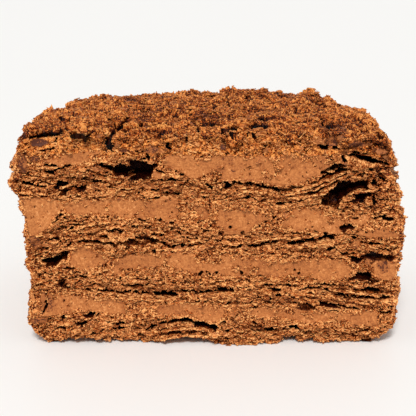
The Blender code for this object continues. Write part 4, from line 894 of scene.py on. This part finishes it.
def skin_grid(ring, seams, level, tree):
    """Grids of one layer's wall: points, and the looks of each point, in rows from below."""
    kind = KIND[LAYERS[level]]
    low, high = seams[level], seams[level + 1]
    tall = float(np.mean(high - low))
    share = np.linspace(0, 1, max(6, round(tall / ROW_STEP[kind])) + 1)[:, None]
    z = low + (high - low) * share
    offset = wall_offsets(ring, tree, kind, z, low, high)
    base = ring.points(z)
    outward = ring.outward(z.shape[:1])
    seen = (base + outward * offset[..., None]).reshape(-1, 3)
    cut = np.broadcast_to(ring.cut, z.shape).reshape(-1)
    turned = between(RIM_TURN, 0.0, high - z) if kind == "crust" else np.zeros_like(z)
    corner = np.broadcast_to(between(0.1, 0.6, np.abs(ring.nx)), z.shape).reshape(-1)
    coat, coat_tone = crumb_relief(seen, np.maximum(lumpiness(turned.reshape(-1)), COAT_LUMPS), COAT_FINE)
    layer_height = (share * tall + 0 * z).reshape(-1)
    height, tone, crumbs, cracked = cut_relief(
        kind, base.reshape(-1, 3), seen, layer_height, turned.reshape(-1), corner, 100 + 10 * level
    )
    mouth, dark = mouth_depths(base[..., 0].reshape(-1) - MIDDLE_X, z.reshape(-1))
    height = (height * (1 - 0.7 * dark) * (1 - CORNER_CALM * corner) * cut + coat * (1 - cut)).reshape(z.shape)
    # Painted shade in the cracks and on the pockets' floors.
    cracked = cracked * (CRACKS_DARK + (CROWN_CRACKS_DARK - CRACKS_DARK) * turned.reshape(-1))
    dark = (cut * np.maximum(dark, cracked)).reshape(z.shape)
    offset = offset - (cut * mouth).reshape(z.shape)
    upward = RIM_UPWARD * turned
    points = base + outward * (offset + height * np.sqrt(1 - upward**2))[..., None]
    points[..., 2] += height * upward
    points[0, :, 2] = low - (CRUST_LIP * (1 - ring.cut) if kind == "crust" else 0)
    if kind != "crust":
        points[-1, :, 2] = high
    relief, depth = shading(height, dark, 3)
    looks = {
        "relief": np.clip(relief, -1.5, 1.5).reshape(-1),
        "depth": depth.reshape(-1),
        "tone": tone * cut + coat_tone * (1 - cut),
        "crumbs": crumbs * cut + 1 - cut,
    }
    return points, looks


def grid_quads(number):
    """Quads between the points of a grid with these numbers."""
    return np.stack([number[:-1, :-1], number[:-1, 1:], number[1:, 1:], number[1:, :-1]], -1).reshape(-1, 4)


def wall_quads(rows, size):
    """Quads of a grid of points whose rows close on themselves."""
    number = np.arange(rows * size).reshape(rows, size)
    return grid_quads(np.column_stack([number, number[:, 0]]))


def fans(points, looks, rims):
    """The points and looks with a new point amid each rim, and the triangles that join it to the rim."""
    middles = np.array([(points[rim].min(0) + points[rim].max(0)) / 2 for rim in rims])
    triangles = [
        np.stack([rim, np.roll(rim, -1), np.full(len(rim), len(points) + i)], -1) for i, rim in enumerate(rims)
    ]
    looks = {key: np.concatenate([looks[key], [looks[key][rim].mean() for rim in rims]]) for key in looks}
    return np.concatenate([points, middles]), looks, np.concatenate(triangles)


def make_piece(name, slot, points, looks, quads=None, triangles=None, replaced=None):
    """A visible piece from points in millimetres, which rides on the cake and may replace one of its nodes."""
    mesh = bpy.data.meshes.new(name)
    quads = np.zeros((0, 4), int) if quads is None else quads
    triangles = np.zeros((0, 3), int) if triangles is None else triangles
    loops = np.concatenate([quads.reshape(-1), triangles.reshape(-1)])
    sizes = [4] * len(quads) + [3] * len(triangles)
    mesh.vertices.add(len(points))
    mesh.vertices.foreach_set("co", (points * MM).astype(np.float32).reshape(-1))
    mesh.loops.add(len(loops))
    mesh.loops.foreach_set("vertex_index", loops.astype(np.int32))
    mesh.polygons.add(len(sizes))
    mesh.polygons.foreach_set("loop_start", np.concatenate([[0], np.cumsum(sizes)[:-1]]).astype(np.int32))
    mesh.polygons.foreach_set("use_smooth", np.zeros(len(sizes), bool))
    mesh.update(calc_edges=True)
    for key, values in looks.items():
        attribute = mesh.attributes.new(key, "FLOAT", "POINT")
        attribute.data.foreach_set("value", np.asarray(values, np.float32))
    obj = bpy.data.objects.new(name, mesh)
    bpy.context.scene.collection.objects.link(obj)
    obj.data.materials.append(MATERIALS[slot])
    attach(obj, "root")
    if replaced:
        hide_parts(replaced)


def with_sole(ring, points, looks):
    """The lowest layer's grid with one more row below, which runs inward, so that its arches stay open."""
    side, more = SOLE_REACH
    sole = points[0] - ring.outward() * (side + more * ring.cut)[:, None]
    sole[:, 2] = points[0, :, 2] + SOLE_RISE
    # The row underneath is painted in shade.
    sole_looks = {"relief": 0.0, "depth": -1.5, "tone": 0.3, "crumbs": 1.0}
    looks = {key: np.concatenate([np.full(ring.size, sole_looks[key]), looks[key]]) for key in looks}
    return np.concatenate([sole[None], points]), looks


def layer_skin(ring, seams, level):
    """The skin of one layer below the crust, closed above and below. Returns its points and looks."""
    name = LAYERS[level]
    points, looks = skin_grid(ring, seams, level, tree_of([name])[0])
    if level == 0:
        points, looks = with_sole(ring, points, looks)
    rows, loop = len(points), np.arange(ring.size)
    closed, closed_looks, caps = fans(points.reshape(-1, 3), looks, (loop[::-1], (rows - 1) * ring.size + loop))
    make_piece(f"{name}_skin", KIND[name], closed, closed_looks, wall_quads(rows, ring.size), caps, name)
    return points, looks


# ---- The crown ---------------------------------------------------------------------------------

# The front, right, back and left edges of the crown's grid.
EDGES = ((0,), (slice(None), -1), (-1,), (slice(None), 0))


def rim_edges(ring):
    """Which of the ring's points are the crown's front, right, back and left edge."""
    nx, ny = ring.counts[:2]
    loop = np.arange(ring.size)
    back, left = loop[nx + ny : 2 * nx + ny + 1], np.append(loop[2 * nx + ny :], 0)
    return loop[: nx + 1], loop[nx : nx + ny + 1], back[::-1], left[::-1]


def patch_between(front, right, back, left):
    """A grid of points between four edges: front and back run along x, right and left along y."""
    u = np.linspace(0, 1, len(front))[None, :, None]
    v = (np.linspace(0, 1, len(left)) ** SIDE_EASE)[:, None, None]
    grid = (1 - v) * front[None] + v * back[None] + (1 - u) * left[:, None] + u * right[:, None]
    grid -= (1 - u) * (1 - v) * front[0] + u * (1 - v) * front[-1]
    grid -= (1 - u) * v * back[0] + u * v * back[-1]
    return grid


def crown_heights(tree, crown, rim_heights):
    """Heights of the crown's grid: the rim's at its edges, and the solid's inside."""
    heights = np.full(crown.shape[:2], np.nan)
    for j in range(1, crown.shape[0] - 1):
        for i in range(1, crown.shape[1] - 1):
            x, y, _ = crown[j, i]
            place = tree.ray_cast(Vector((x, y, CROWN_FROM)), Vector((0, 0, -1)), CROWN_REACH)[0]
            if place is not None and place.z > CROWN_LEAST:
                heights[j, i] = place.z
    for edge, rim_height in zip(EDGES, rim_heights):
        heights[edge] = rim_height
    for row in heights[1:-1]:
        known = np.flatnonzero(~np.isnan(row))
        row[:] = np.interp(np.arange(len(row)), known, row[known])
    heights[1:-1, 1:-1] = blurred(heights, 2, 3, wrap=False)[1:-1, 1:-1]
    return heights


def crown_form(ring, seams, tree, edges):
    """The crown's grid of points without its relief, and the way out of it, square to its broad form."""
    rim_z = seams[-1]
    offset = filled(ring.cast(tree, np.maximum(rim_z - 0.3, seams[-2] + 0.3)[None])[0])[0]
    offset = blurred_line(np.clip(offset, -RIM_BACK - 0.5, 1.2), 3)
    rim = ring.points(rim_z) + ring.outward() * offset[:, None]
    crown = patch_between(*(rim[index] for index in edges))
    crown[..., 2] = crown_heights(tree, crown, [rim[index, 2] for index in edges])
    broad = blurred(crown[..., 2], 5, 8, wrap=False)
    rise_y, rise_x = np.gradient(broad)
    slope_x, slope_y = rise_x / np.gradient(crown[..., 0], axis=1), rise_y / np.gradient(crown[..., 1], axis=0)
    return crown, unit(np.stack([-slope_x, -slope_y, np.ones_like(broad)], -1))


def crown_relief(crown, normal):
    """The crown's points moved by its relief, and their looks."""
    shape, flat = crown.shape[:2], crown.reshape(-1, 3)
    height, tone = crumb_relief(flat, CROWN_LUMPS, CROWN_FINE)
    height = height.reshape(shape)
    lift = blurred(height, 5, 6, wrap=False)
    cracks = crack_depths((crown + normal * lift[..., None]).reshape(-1, 3))
    cracks = (cracks * (1 - between(*CRACKS_END, np.abs(flat[:, 0] - MIDDLE_X)))).reshape(shape)
    from_rim = np.minimum(np.arange(shape[0]), np.arange(shape[0])[::-1])[:, None]
    height = np.minimum(height, RIM_MOST + RIM_ROW_MORE * from_rim) - np.minimum(cracks, SHALLOW)
    # The crown's cracks get painted shade.
    relief, depth = shading(height, CROWN_CRACKS_DARK * np.clip(cracks / DARK_AT, 0, 1), 4, wrap=False)
    # The whole crown is painted darker: painted shade on the top.
    tone = (tone + painted_light_and_tone(flat) - CROWN_PAINTED_SHADE).reshape(shape)
    looks = {"relief": relief, "depth": depth, "tone": tone, "crumbs": np.ones(shape)}
    return crown + normal * height[..., None], looks


def crust_skin(ring, seams):
    """The skin of the crumb crust: its wall all round, and the crown, whose rim is the wall's top row."""
    name = LAYERS[-1]
    tree, _ = tree_of([name])
    points, looks = skin_grid(ring, seams, len(LAYERS) - 1, tree)
    edges = rim_edges(ring)
    form, normal = crown_form(ring, seams, tree, edges)
    crown, crown_looks = crown_relief(form, normal)
    number = np.full(crown.shape[:2], -1)
    for index, edge in zip(edges, EDGES):
        number[edge] = (len(points) - 1) * ring.size + index
        points[-1, index] = crown[edge]
    inner = (slice(1, -1), slice(1, -1))
    number[inner] = len(points) * ring.size + np.arange(number[inner].size).reshape(number[inner].shape)
    all_points = np.concatenate([points.reshape(-1, 3), crown[inner].reshape(-1, 3)])
    all_looks = {key: np.concatenate([looks[key], crown_looks[key][inner].reshape(-1)]) for key in looks}
    closed, closed_looks, cap = fans(all_points, all_looks, [np.arange(ring.size)[::-1]])
    quads = np.concatenate([wall_quads(len(points), ring.size), grid_quads(number)])
    make_piece(f"{name}_skin", name, closed, closed_looks, quads, cap, name)
    return points, looks, crown, normal, crown_looks


# ---- Materials ---------------------------------------------------------------------------------

# Along each ramp, whose ends come first, from pits to crests: (place, red, green, blue), as on a screen.
# On pastry and crust, the dark end is painted shade in the pits and the light end painted highlights on the
# crests, mixed with the grains' own tone.
COLOURS = {
    "pastry": (
        (0.0, 40, 11, 4), (1.0, 242, 178, 110), (0.26, 102, 42, 14), (0.5, 155, 73, 26), (0.72, 197, 106, 45),
    ),
    "crumb_crust": (
        (0.0, 42, 11, 3), (1.0, 232, 158, 84), (0.26, 104, 40, 11), (0.5, 161, 75, 24), (0.72, 199, 102, 37),
    ),
    "cream": (
        (0.0, 84, 44, 30), (1.0, 224, 154, 98), (0.12, 150, 85, 45), (0.5, 179, 109, 59), (0.7, 193, 121, 67),
    ),
}
# Across the outline of a small flake, (place, grey): a painted shadow in the gap beside a painted highlight on the
# rim.
PAINTED_RIM_LIGHT = (
    (0.0, 0.5), (1.0, 0.5), (0.38, 0.5), (0.44, 0.0), (0.48, 0.2), (0.51, 1.0), (0.55, 0.65), (0.62, 0.5),
)
# Painted shade in the cracks, pockets and hollows darkens the colours: (place, factor for each of red, green and
# blue).
PAINTED_SHADE_RAMP = ((0.0, 0.05, 0.018, 0.01), (0.93, 1, 1, 1), (0.55, 0.36, 0.23, 0.15))
# How much finer the noise is along x, y and z.
FLATTENED = {"pastry": (0.65, 1.0, 1.5), "cream": (1.0, 1.0, 1.0), "crumb_crust": (1.0, 1.0, 1.0)}


def linear(r, g, b):
    """A colour given in 0 to 255 as it looks on a screen."""
    return tuple(((c / 255 + 0.055) / 1.055) ** 2.4 if c > 10 else c / 255 / 12.92 for c in (r, g, b)) + (1.0,)


def cake_material(name):
    """Crumbs and cream: dark with painted shade in the pits, golden with painted highlights on the crests, told
    apart by the skin's own values.
    """
    made = bpy.data.materials.new(name)
    made.use_nodes = True
    tree = made.node_tree
    shader = tree.nodes["Principled BSDF"]

    def add(kind, **values):
        node = tree.nodes.new(kind)
        for key, value in values.items():
            setattr(node, key, value)
        return node

    def feed(node, place, value):
        """Gives one of the node's inputs a number or another node's output."""
        if isinstance(value, float):
            node.inputs[place].default_value = value
        else:
            tree.links.new(value, node.inputs[place])

    def times_plus(value, factor, plus, clamp=False):
        node = add("ShaderNodeMath", operation="MULTIPLY_ADD", use_clamp=clamp)
        for place, given in enumerate((value, factor, plus)):
            feed(node, place, given)
        return node.outputs[0]

    def summed(total, *parts):
        """The total with every value times its factor added, held between 0 and 1."""
        for number, (value, factor) in enumerate(parts, 1):
            total = times_plus(value, factor, total, clamp=number == len(parts))
        return total

    def ramp(value, stops):
        node = add("ShaderNodeValToRGB")
        for i, (place, colour) in enumerate(stops):
            element = node.color_ramp.elements[i] if i < 2 else node.color_ramp.elements.new(place)
            element.position = place
            element.color = colour
        feed(node, 0, value)
        return node.outputs[0]

    def coloured(value, slot):
        return ramp(value, [(place, linear(*colour)) for place, *colour in COLOURS[slot]])

    def mix(factor, a, b, blend="MIX"):
        node = add("ShaderNodeMix", data_type="RGBA", blend_type=blend)
        for place, given in ((0, factor), (6, a), (7, b)):
            feed(node, place, given)
        return node.outputs[2]

    def noise(scale, detail):
        node = add("ShaderNodeTexNoise")
        feed(node, "Scale", scale)
        feed(node, "Detail", detail)
        feed(node, "Vector", where)
        return node.outputs["Fac"]

    looks = {}
    for key in ("relief", "depth", "tone", "crumbs"):
        looks[key] = add("ShaderNodeAttribute", attribute_name=key).outputs["Fac"]
    flatten = add("ShaderNodeMapping")
    flatten.inputs["Scale"].default_value = FLATTENED[name]
    feed(flatten, "Vector", add("ShaderNodeTexCoord").outputs["Object"])
    where = flatten.outputs["Vector"]
    crust = name == "crumb_crust"
    specks, fine, patches = noise(1000.0, 1.0), noise(1800.0, 1.0), noise(110.0, 3.0)
    # Painted rim light: a painted shadow beside a painted highlight round small flakes.
    painted_rim_greys = [(place, (grey, grey, grey, 1)) for place, grey in PAINTED_RIM_LIGHT]
    rims, small_painted_rims = ramp(noise(600.0, 1.5), painted_rim_greys), ramp(noise(1050.0, 1.0), painted_rim_greys)
    # Painted highlights and shade from the relief and the rims, with the own tone and noise, place the crumbs on
    # their ramp.
    crest = summed(
        -2.05 if crust else -2.0, (looks["relief"], 0.55), (looks["tone"], 0.45), (specks, 0.6), (fine, 1.25),
        (rims, 1.0 if crust else 0.9), (small_painted_rims, 1.2), (patches, 0.6),
    )
    cream = summed(-0.62, (looks["tone"], 0.1), (patches, 0.4), (fine, 1.0), (specks, 0.8))
    colour = mix(looks["crumbs"], coloured(cream, "cream"), coloured(crest, "crumb_crust" if crust else "pastry"))
    # Painted shade: hollows, cracks and pockets darken the colour.
    shown = times_plus(looks["depth"], 0.6, 1.04, clamp=True)
    dark = ramp(shown, [(place, (*factors, 1)) for place, *factors in PAINTED_SHADE_RAMP])
    feed(shader, "Base Color", mix(1.0, colour, dark, "MULTIPLY"))
    feed(shader, "Roughness", times_plus(patches, 0.3, 0.3))
    feed(shader, "Specular IOR Level", 0.1)
    bump = add("ShaderNodeBump")
    feed(bump, "Strength", 0.5)
    feed(bump, "Distance", 0.0003)
    feed(bump, "Height", noise(2300.0, 3.0))
    feed(shader, "Normal", bump.outputs["Normal"])
    return made


def floor_material():
    """A plain pale floor, a little uneven in tone."""
    made = bpy.data.materials.new("pale_floor")
    made.use_nodes = True
    tree = made.node_tree
    shader = tree.nodes["Principled BSDF"]
    noise = tree.nodes.new("ShaderNodeTexNoise")
    noise.inputs["Scale"].default_value = 6.0
    ramp = tree.nodes.new("ShaderNodeValToRGB")
    ramp.color_ramp.elements[0].color = (0.86, 0.852, 0.83, 1)
    ramp.color_ramp.elements[1].color = (0.9, 0.892, 0.87, 1)
    tree.links.new(noise.outputs["Fac"], ramp.inputs[0])
    tree.links.new(ramp.outputs[0], shader.inputs["Base Color"])
    shader.inputs["Roughness"].default_value = 0.5
    return made


# ---- Chips, flakes and sheets ------------------------------------------------------------------

rng = np.random.default_rng(5)  # all random draws come from it, in the order of the calls under Building
OCTAHEDRON = np.array([(1, 0, 0), (-1, 0, 0), (0, 1, 0), (0, -1, 0), (0, 0, 1), (0, 0, -1)], float)
OCTAHEDRON_FACES = np.array([(a, b, c) for a in (0, 1) for b in (2, 3) for c in (4, 5)])
# Faces whose corners run the wrong way round are turned.
TURNED = np.linalg.det(OCTAHEDRON[OCTAHEDRON_FACES]) < 0
OCTAHEDRON_FACES[TURNED] = OCTAHEDRON_FACES[TURNED][:, ::-1]


class Surface:
    """Places on the finished skins where chips and flakes can lie."""

    def __init__(self):
        self.parts = []

    def add_grid(self, points, out, cut, looks, wrap=True):
        """Takes a grid of points, the way out of it, whether it is cut, and its looks."""
        crumbs, depth = (looks[key].reshape(points.shape[:2]) for key in ("crumbs", "depth"))
        if wrap:
            after = np.roll(points, -1, axis=1)
        else:
            after = np.concatenate([points[:, 1:], points[:, -1:]], axis=1)
        above = np.concatenate([points[1:], points[-1:]])
        area = np.linalg.norm(after - points, axis=-1) * np.minimum(np.linalg.norm(above - points, axis=-1), 0.8)
        area = area * (depth > TOO_DEEP)
        keep = np.zeros(area.shape, bool)
        keep[1:-1] = True
        flat = [np.broadcast_to(v, area.shape)[keep] for v in (area, crumbs, cut)]
        self.parts.append((points[keep], np.broadcast_to(out, points.shape)[keep], *flat))

    def in_front(self, x, z):
        """Places just in front of the cut face at these x and z."""
        points = np.concatenate([part[0][part[4] > CUT_FROM] for part in self.parts])
        y = []
        for one_x, one_z in zip(x, z):
            near = np.hypot(points[:, 0] - one_x, points[:, 2] - one_z) < 1.0
            y.append(np.percentile(points[near, 1], 25) if near.any() else FACE_Y)
        return np.stack([x, np.array(y) - 0.3, z], -1)

    def pick(self, count, cut, cream=0.0):
        """Random places and the way out there, fewer of them on cream."""
        points, out, area, crumbs, cuts = (np.concatenate(column) for column in zip(*self.parts))
        weight = np.minimum(area, 0.5) * (cream + (1 - cream) * crumbs) * ((cuts > CUT_FROM) == cut)
        picked = rng.choice(len(points), count, p=weight / weight.sum())
        return points[picked], out[picked]


def random_turns(count):
    """Random rotations."""
    w, x, y, z = unit(rng.normal(size=(count, 4))).T
    rows = [
        [1 - 2 * (y * y + z * z), 2 * (x * y - z * w), 2 * (x * z + y * w)],
        [2 * (x * y + z * w), 1 - 2 * (x * x + z * z), 2 * (y * z - x * w)],
        [2 * (x * z - y * w), 2 * (y * z + x * w), 1 - 2 * (x * x + y * y)],
    ]
    return np.array(rows).transpose(2, 0, 1)


def power_sizes(count, least, most, power=2.5):
    """Sizes of which most are small."""
    return least + (most - least) * rng.uniform(0, 1, count) ** power


def on_table(points):
    """Nothing reaches below the floor that the cake stands on."""
    points[..., 2] = np.maximum(points[..., 2], FLOOR_GAP)
    return points


def copies(faces, corners, count):
    """The faces of this many equal bodies with so many corners each."""
    return (np.array(faces)[None] + corners * np.arange(count)[:, None, None]).reshape(-1, 3)


def scatter_chips(name, surface, count, cut, raised, sizes, slot, tone=0.0, cream=0.0):
    """Small broken chips with eight facets, half sunk in the surface. raised and sizes are (least, most)."""
    places, out = surface.pick(count, cut, cream)
    places = places + out * rng.uniform(*raised, (count, 1))
    sizes = power_sizes(count, *sizes)
    corners = len(OCTAHEDRON)
    radial = rng.uniform(0.6, 1.15, (count, corners, 1))
    stretch = rng.uniform(0.45, 1.0, (count, 1, 3)) * sizes[:, None, None]
    offsets = np.einsum("nij,nvj->nvi", random_turns(count), OCTAHEDRON[None] * radial * stretch)
    up = np.einsum("nvi,ni->nv", offsets, out) / sizes[:, None]
    # The chips' relief puts painted highlights on the corners that stand out and painted shade on the sunk ones.
    looks = {
        "relief": (0.5 * up + rng.uniform(-0.15, 0.35, (count, 1))).reshape(-1),
        "depth": np.zeros(corners * count),
        "tone": np.repeat(tone + painted_light_and_tone(places) + rng.uniform(0.0, 1.0, count), corners),
        "crumbs": np.repeat(rng.uniform(0.3, 1.0, count), corners),
    }
    points = on_table(offsets + places[:, None]).reshape(-1, 3)
    make_piece(name, slot, points, looks, triangles=copies(OCTAHEDRON_FACES, corners, count))


def flakes(name, slot, places, facing, along, lengths, widths, thickness, tone, crumbs, sides):
    """Thin bent plates with uneven outlines. facing is the way their flat sides look."""
    count = len(places)
    facing = unit(facing)
    across = unit(np.cross(facing, along))
    along = np.cross(across, facing)
    turn = np.linspace(0, 2 * math.pi, sides, endpoint=False)[None] + rng.uniform(-0.3, 0.3, (count, sides))
    reach = rng.uniform(0.6, 1.1, (count, sides)) / 2
    a, b = np.cos(turn) * reach * lengths[:, None], np.sin(turn) * reach * widths[:, None]
    lift = rng.uniform(-0.5, 0.5, (count, 1)) * a**2 / lengths[:, None]
    lift += rng.uniform(-0.06, 0.06, (count, sides)) * lengths[:, None]
    hub = places[:, None]
    rim = hub + along[:, None] * a[..., None] + across[:, None] * b[..., None] + facing[:, None] * lift[..., None]
    half = (thickness / 2)[:, None, None] * facing[:, None]
    points = on_table(np.concatenate([rim - half, rim + half, hub - half, hub + half], axis=1))
    faces = []
    for i in range(sides):
        j = (i + 1) % sides
        faces += [(2 * sides, j, i), (2 * sides + 1, sides + i, sides + j)]
        faces += [(i, j, sides + j), (i, sides + j, sides + i)]
    corners = 2 * sides + 2
    # Their rims get painted highlights: more relief and a lighter tone.
    rim_share = np.concatenate([np.ones(2 * sides), np.zeros(2)])
    own_tone = rng.uniform(*tone, (count, 1))
    own_crumbs = rng.uniform(*crumbs, (count, 1))
    looks = {
        "relief": (rng.uniform(-0.3, 0.3, (count, 1)) + 0.5 * rim_share).reshape(-1),
        "depth": np.zeros(corners * count),
        "tone": (painted_light_and_tone(places)[:, None] + own_tone + rim_share * (0.5 - 0.5 * own_tone)).reshape(-1),
        "crumbs": (own_crumbs + rim_share * 0.4).reshape(-1),
    }
    make_piece(name, slot, points.reshape(-1, 3), looks, triangles=copies(faces, corners, count))


def scatter_flakes(name, surface, count, cut, lie, lean, most, slot, tone=(-1.0, 0.9), sides=5):
    """Flakes that lie flat on the surface (lie 1) or level, like the sheets they came from (lie 0)."""
    places, out = surface.pick(count, cut)
    facing = lie * out + (1 - lie) * UP + rng.normal(size=(count, 3)) * lean
    from_middle = np.abs(places[:, 0] - MIDDLE_X)
    along = np.where(from_middle[:, None] > EDGE, BACK, RIGHT) + rng.normal(size=(count, 3)) * 0.6
    lengths = power_sizes(count, 1.2, most, 2.0)
    lengths *= np.interp(from_middle, (SHORTER_FROM, EDGE), (1.0, 0.4))
    widths = lengths * rng.uniform(0.35, 0.8, count)
    sunk = rng.uniform(-0.1, 0.2, (count, 1)) - (1 - lie) * 0.25 * widths[:, None]
    thickness = rng.uniform(0.2, 0.45, count)
    flakes(name, slot, places + out * sunk, facing, along, lengths, widths, thickness, tone, (0.15, 0.6), sides)


def single_flakes(surface):
    """The large flakes that the photo shows, each in its own place."""
    x, z, lengths, widths = np.array(PLATES).T
    count = len(x)
    places = surface.in_front(x + MIDDLE_X, z)
    facing = np.array([0, -1.0, 0.35]) + rng.normal(size=(count, 3)) * 0.25
    along = RIGHT + rng.normal(size=(count, 3)) * 0.35
    thickness = np.full(count, SINGLE_THICKNESS)
    tone, crumbs = (-0.9, 0.3), (0.1, 0.3)
    flakes("flakes_single", "pastry", places, facing, along, lengths, widths, thickness, tone, crumbs, 7)


def sheet_grid(path, reach, seed):
    """Points, quads and relief of one thin torn sheet that shows edge on in the cut face; the relief is a painted
    highlight along its front edge.
    """
    path = np.array(path) + (MIDDLE_X, 0)
    way = np.concatenate([[0], np.cumsum(np.hypot(*np.diff(path, axis=0).T))])
    count = max(12, int(way[-1] / SHEET_STEP))
    x, z = (blurred_line(np.interp(np.linspace(0, way[-1], count), way, line), 3, False) for line in path.T)
    depth = np.linspace(0, 1, SHEET_ROWS)[:, None]
    base = np.stack(np.broadcast_arrays(x[None], 0.0, z[None]), -1).repeat(SHEET_ROWS, axis=0)
    flat = base[0] + (0, 3.1 * seed, 0)
    ragged = -0.2 + 0.8 * waves(flat, 2.2, seed) + 0.6 * waves(flat, 0.8, seed + 1)
    taper = np.minimum(1, np.minimum(np.arange(count), np.arange(count)[::-1]) / 5)
    out = (ragged - SHEETS_OUT)[None] * (1 - depth) * taper
    base[..., 1] = FACE_Y + out + 0.9 * (1 - taper) + reach * depth
    every = base.reshape(-1, 3)
    wave = 0.35 * waves(every, 3.0, seed + 2) + 0.2 * waves(every, 1.1, seed + 3)
    uneven = waves(every, 1.3, seed + 4).reshape(SHEET_ROWS, count)
    thick = SHEET_THICKNESS * (0.45 + 0.35 * taper[None] + 0.3 * uneven)
    base[..., 2] += wave.reshape(SHEET_ROWS, count)
    half = thick[..., None] / 2 * UP
    points = np.concatenate([(base + half).reshape(-1, 3), (base - half).reshape(-1, 3)])
    under = SHEET_ROWS * count
    number = np.arange(under).reshape(SHEET_ROWS, count)
    rim = np.concatenate([number[0], number[1:, -1], number[-1, -2::-1], number[-2:0:-1, 0]])
    after = np.roll(rim, -1)
    edge = np.stack([rim, rim + under, after + under, after], -1)
    quads = np.concatenate([grid_quads(number), grid_quads(number + under)[:, [0, 3, 2, 1]], edge])
    # A painted highlight along the front edge.
    bright = np.concatenate([np.full(count, 0.45), np.zeros(under - count)])
    return points, quads, np.tile(bright, 2)


def torn_sheets():
    """All the thin sheets, as one piece."""
    points, quads, relief, start = [], [], [], 0
    for i, (path, reach) in enumerate(SHEETS):
        p, q, r = sheet_grid(path, reach, 300 + 10 * i)
        points.append(p)
        quads.append(q + start)
        relief.append(r)
        start += len(p)
    points = on_table(np.concatenate(points))
    # The sheets are painted darker further into the cake: painted shade between them.
    looks = {
        "relief": np.concatenate(relief) + 0.3 * waves(points, 0.8, 5),
        "depth": -0.55 * np.clip(points[:, 1] - FACE_Y - 0.5, 0, 4),
        "tone": 0.5 + 0.5 * waves(points, 1.5, 6),
        "crumbs": np.ones(len(points)),
    }
    make_piece("torn_sheets", "pastry", points, looks, np.concatenate(quads))


# ---- Building ----------------------------------------------------------------------------------

MATERIALS = {slot: cake_material(slot) for slot in ("pastry", "cream", "crumb_crust")}
whole_tree, whole_owner = tree_of(LAYERS)
walls = read_walls(whole_tree)
skin_ring, crust_ring = (Ring(counts, walls, whole_tree) for counts in (SKIN_COUNTS, CRUST_COUNTS))
skin_seams, crust_seams = (read_seams(ring, whole_tree, whole_owner) for ring in (skin_ring, crust_ring))

walls_surface, crown_surface = Surface(), Surface()
for level in range(len(LAYERS) - 1):
    points, looks = layer_skin(skin_ring, skin_seams, level)
    walls_surface.add_grid(points, skin_ring.outward(points.shape[:1]), skin_ring.cut, looks)
points, looks, crown, crown_normal, crown_looks = crust_skin(crust_ring, crust_seams)
walls_surface.add_grid(points, crust_ring.outward(points.shape[:1]), crust_ring.cut, looks)
crown_surface.add_grid(crown, crown_normal, 0.0, crown_looks, wrap=False)

scatter_chips("chips_cut", walls_surface, CHIPS_CUT, True, (-0.15, 0.2), (0.22, 0.75), "pastry", cream=0.07)
scatter_chips("chips_coat", walls_surface, CHIPS_COAT, False, (-0.2, 0.25), (0.3, 0.85), "crumb_crust")
# The crown's chips and flakes get a lower tone: painted shade on the top, as on the crown's skin.
scatter_chips("chips_top", crown_surface, CHIPS_TOP, False, (-0.3, 0.1), (0.25, 0.8), "crumb_crust", -0.25)
scatter_flakes("flakes_cut", walls_surface, FLAKES_CUT, True, 0.2, 0.4, 4.0, "pastry")
scatter_flakes("flakes_cut_flat", walls_surface, FLAKES_FLAT, True, 1.0, 0.4, 2.6, "pastry")
scatter_flakes("flakes_coat", walls_surface, FLAKES_COAT, False, 1.0, 0.3, 4.0, "crumb_crust")
scatter_flakes("flakes_top", crown_surface, FLAKES_TOP, False, 1.0, 0.16, 4.5, "crumb_crust", (-1.2, 0.6), 6)
torn_sheets()
single_flakes(walls_surface)

# ---- Stage -------------------------------------------------------------------------------------

KEY_RAISED, KEY_TURNED = 48.0, 5.0  # degrees above the floor and to the left
KEY_STRENGTH, KEY_SPREAD = 2.75, 14.0
WORLD_STRENGTH = 0.52

bpy.ops.mesh.primitive_plane_add(size=6.0, location=(0, 0, -0.0002))
floor = bpy.context.object
floor.name = "floor"
floor.data.materials.append(floor_material())

world = bpy.data.worlds.new("studio")
bpy.context.scene.world = world
world.use_nodes = True
world.node_tree.nodes["Background"].inputs[0].default_value = (1.0, 1.0, 1.0, 1)
world.node_tree.nodes["Background"].inputs[1].default_value = WORLD_STRENGTH

# Soft light from the front.
key_data = bpy.data.lights.new("key", "SUN")
key_data.energy, key_data.angle = KEY_STRENGTH, math.radians(KEY_SPREAD)
key = bpy.data.objects.new("key", key_data)
bpy.context.scene.collection.objects.link(key)
key.rotation_euler = (math.radians(90 - KEY_RAISED), 0, -math.radians(KEY_TURNED))

camera_data = bpy.data.cameras.new("camera")
camera_data.lens = LENS
camera_data.sensor_width = SENSOR
camera_data.clip_start = 0.01
camera = bpy.data.objects.new("camera", camera_data)
bpy.context.scene.collection.objects.link(camera)
camera.location = (MIDDLE_X * MM, (FACE_Y - CAMERA_BACK) * MM, CAMERA_UP * MM)
camera.rotation_euler = (math.radians(90 - CAMERA_DOWN), 0, 0)
bpy.context.scene.camera = camera
bpy.context.scene.view_settings.view_transform = "Standard"
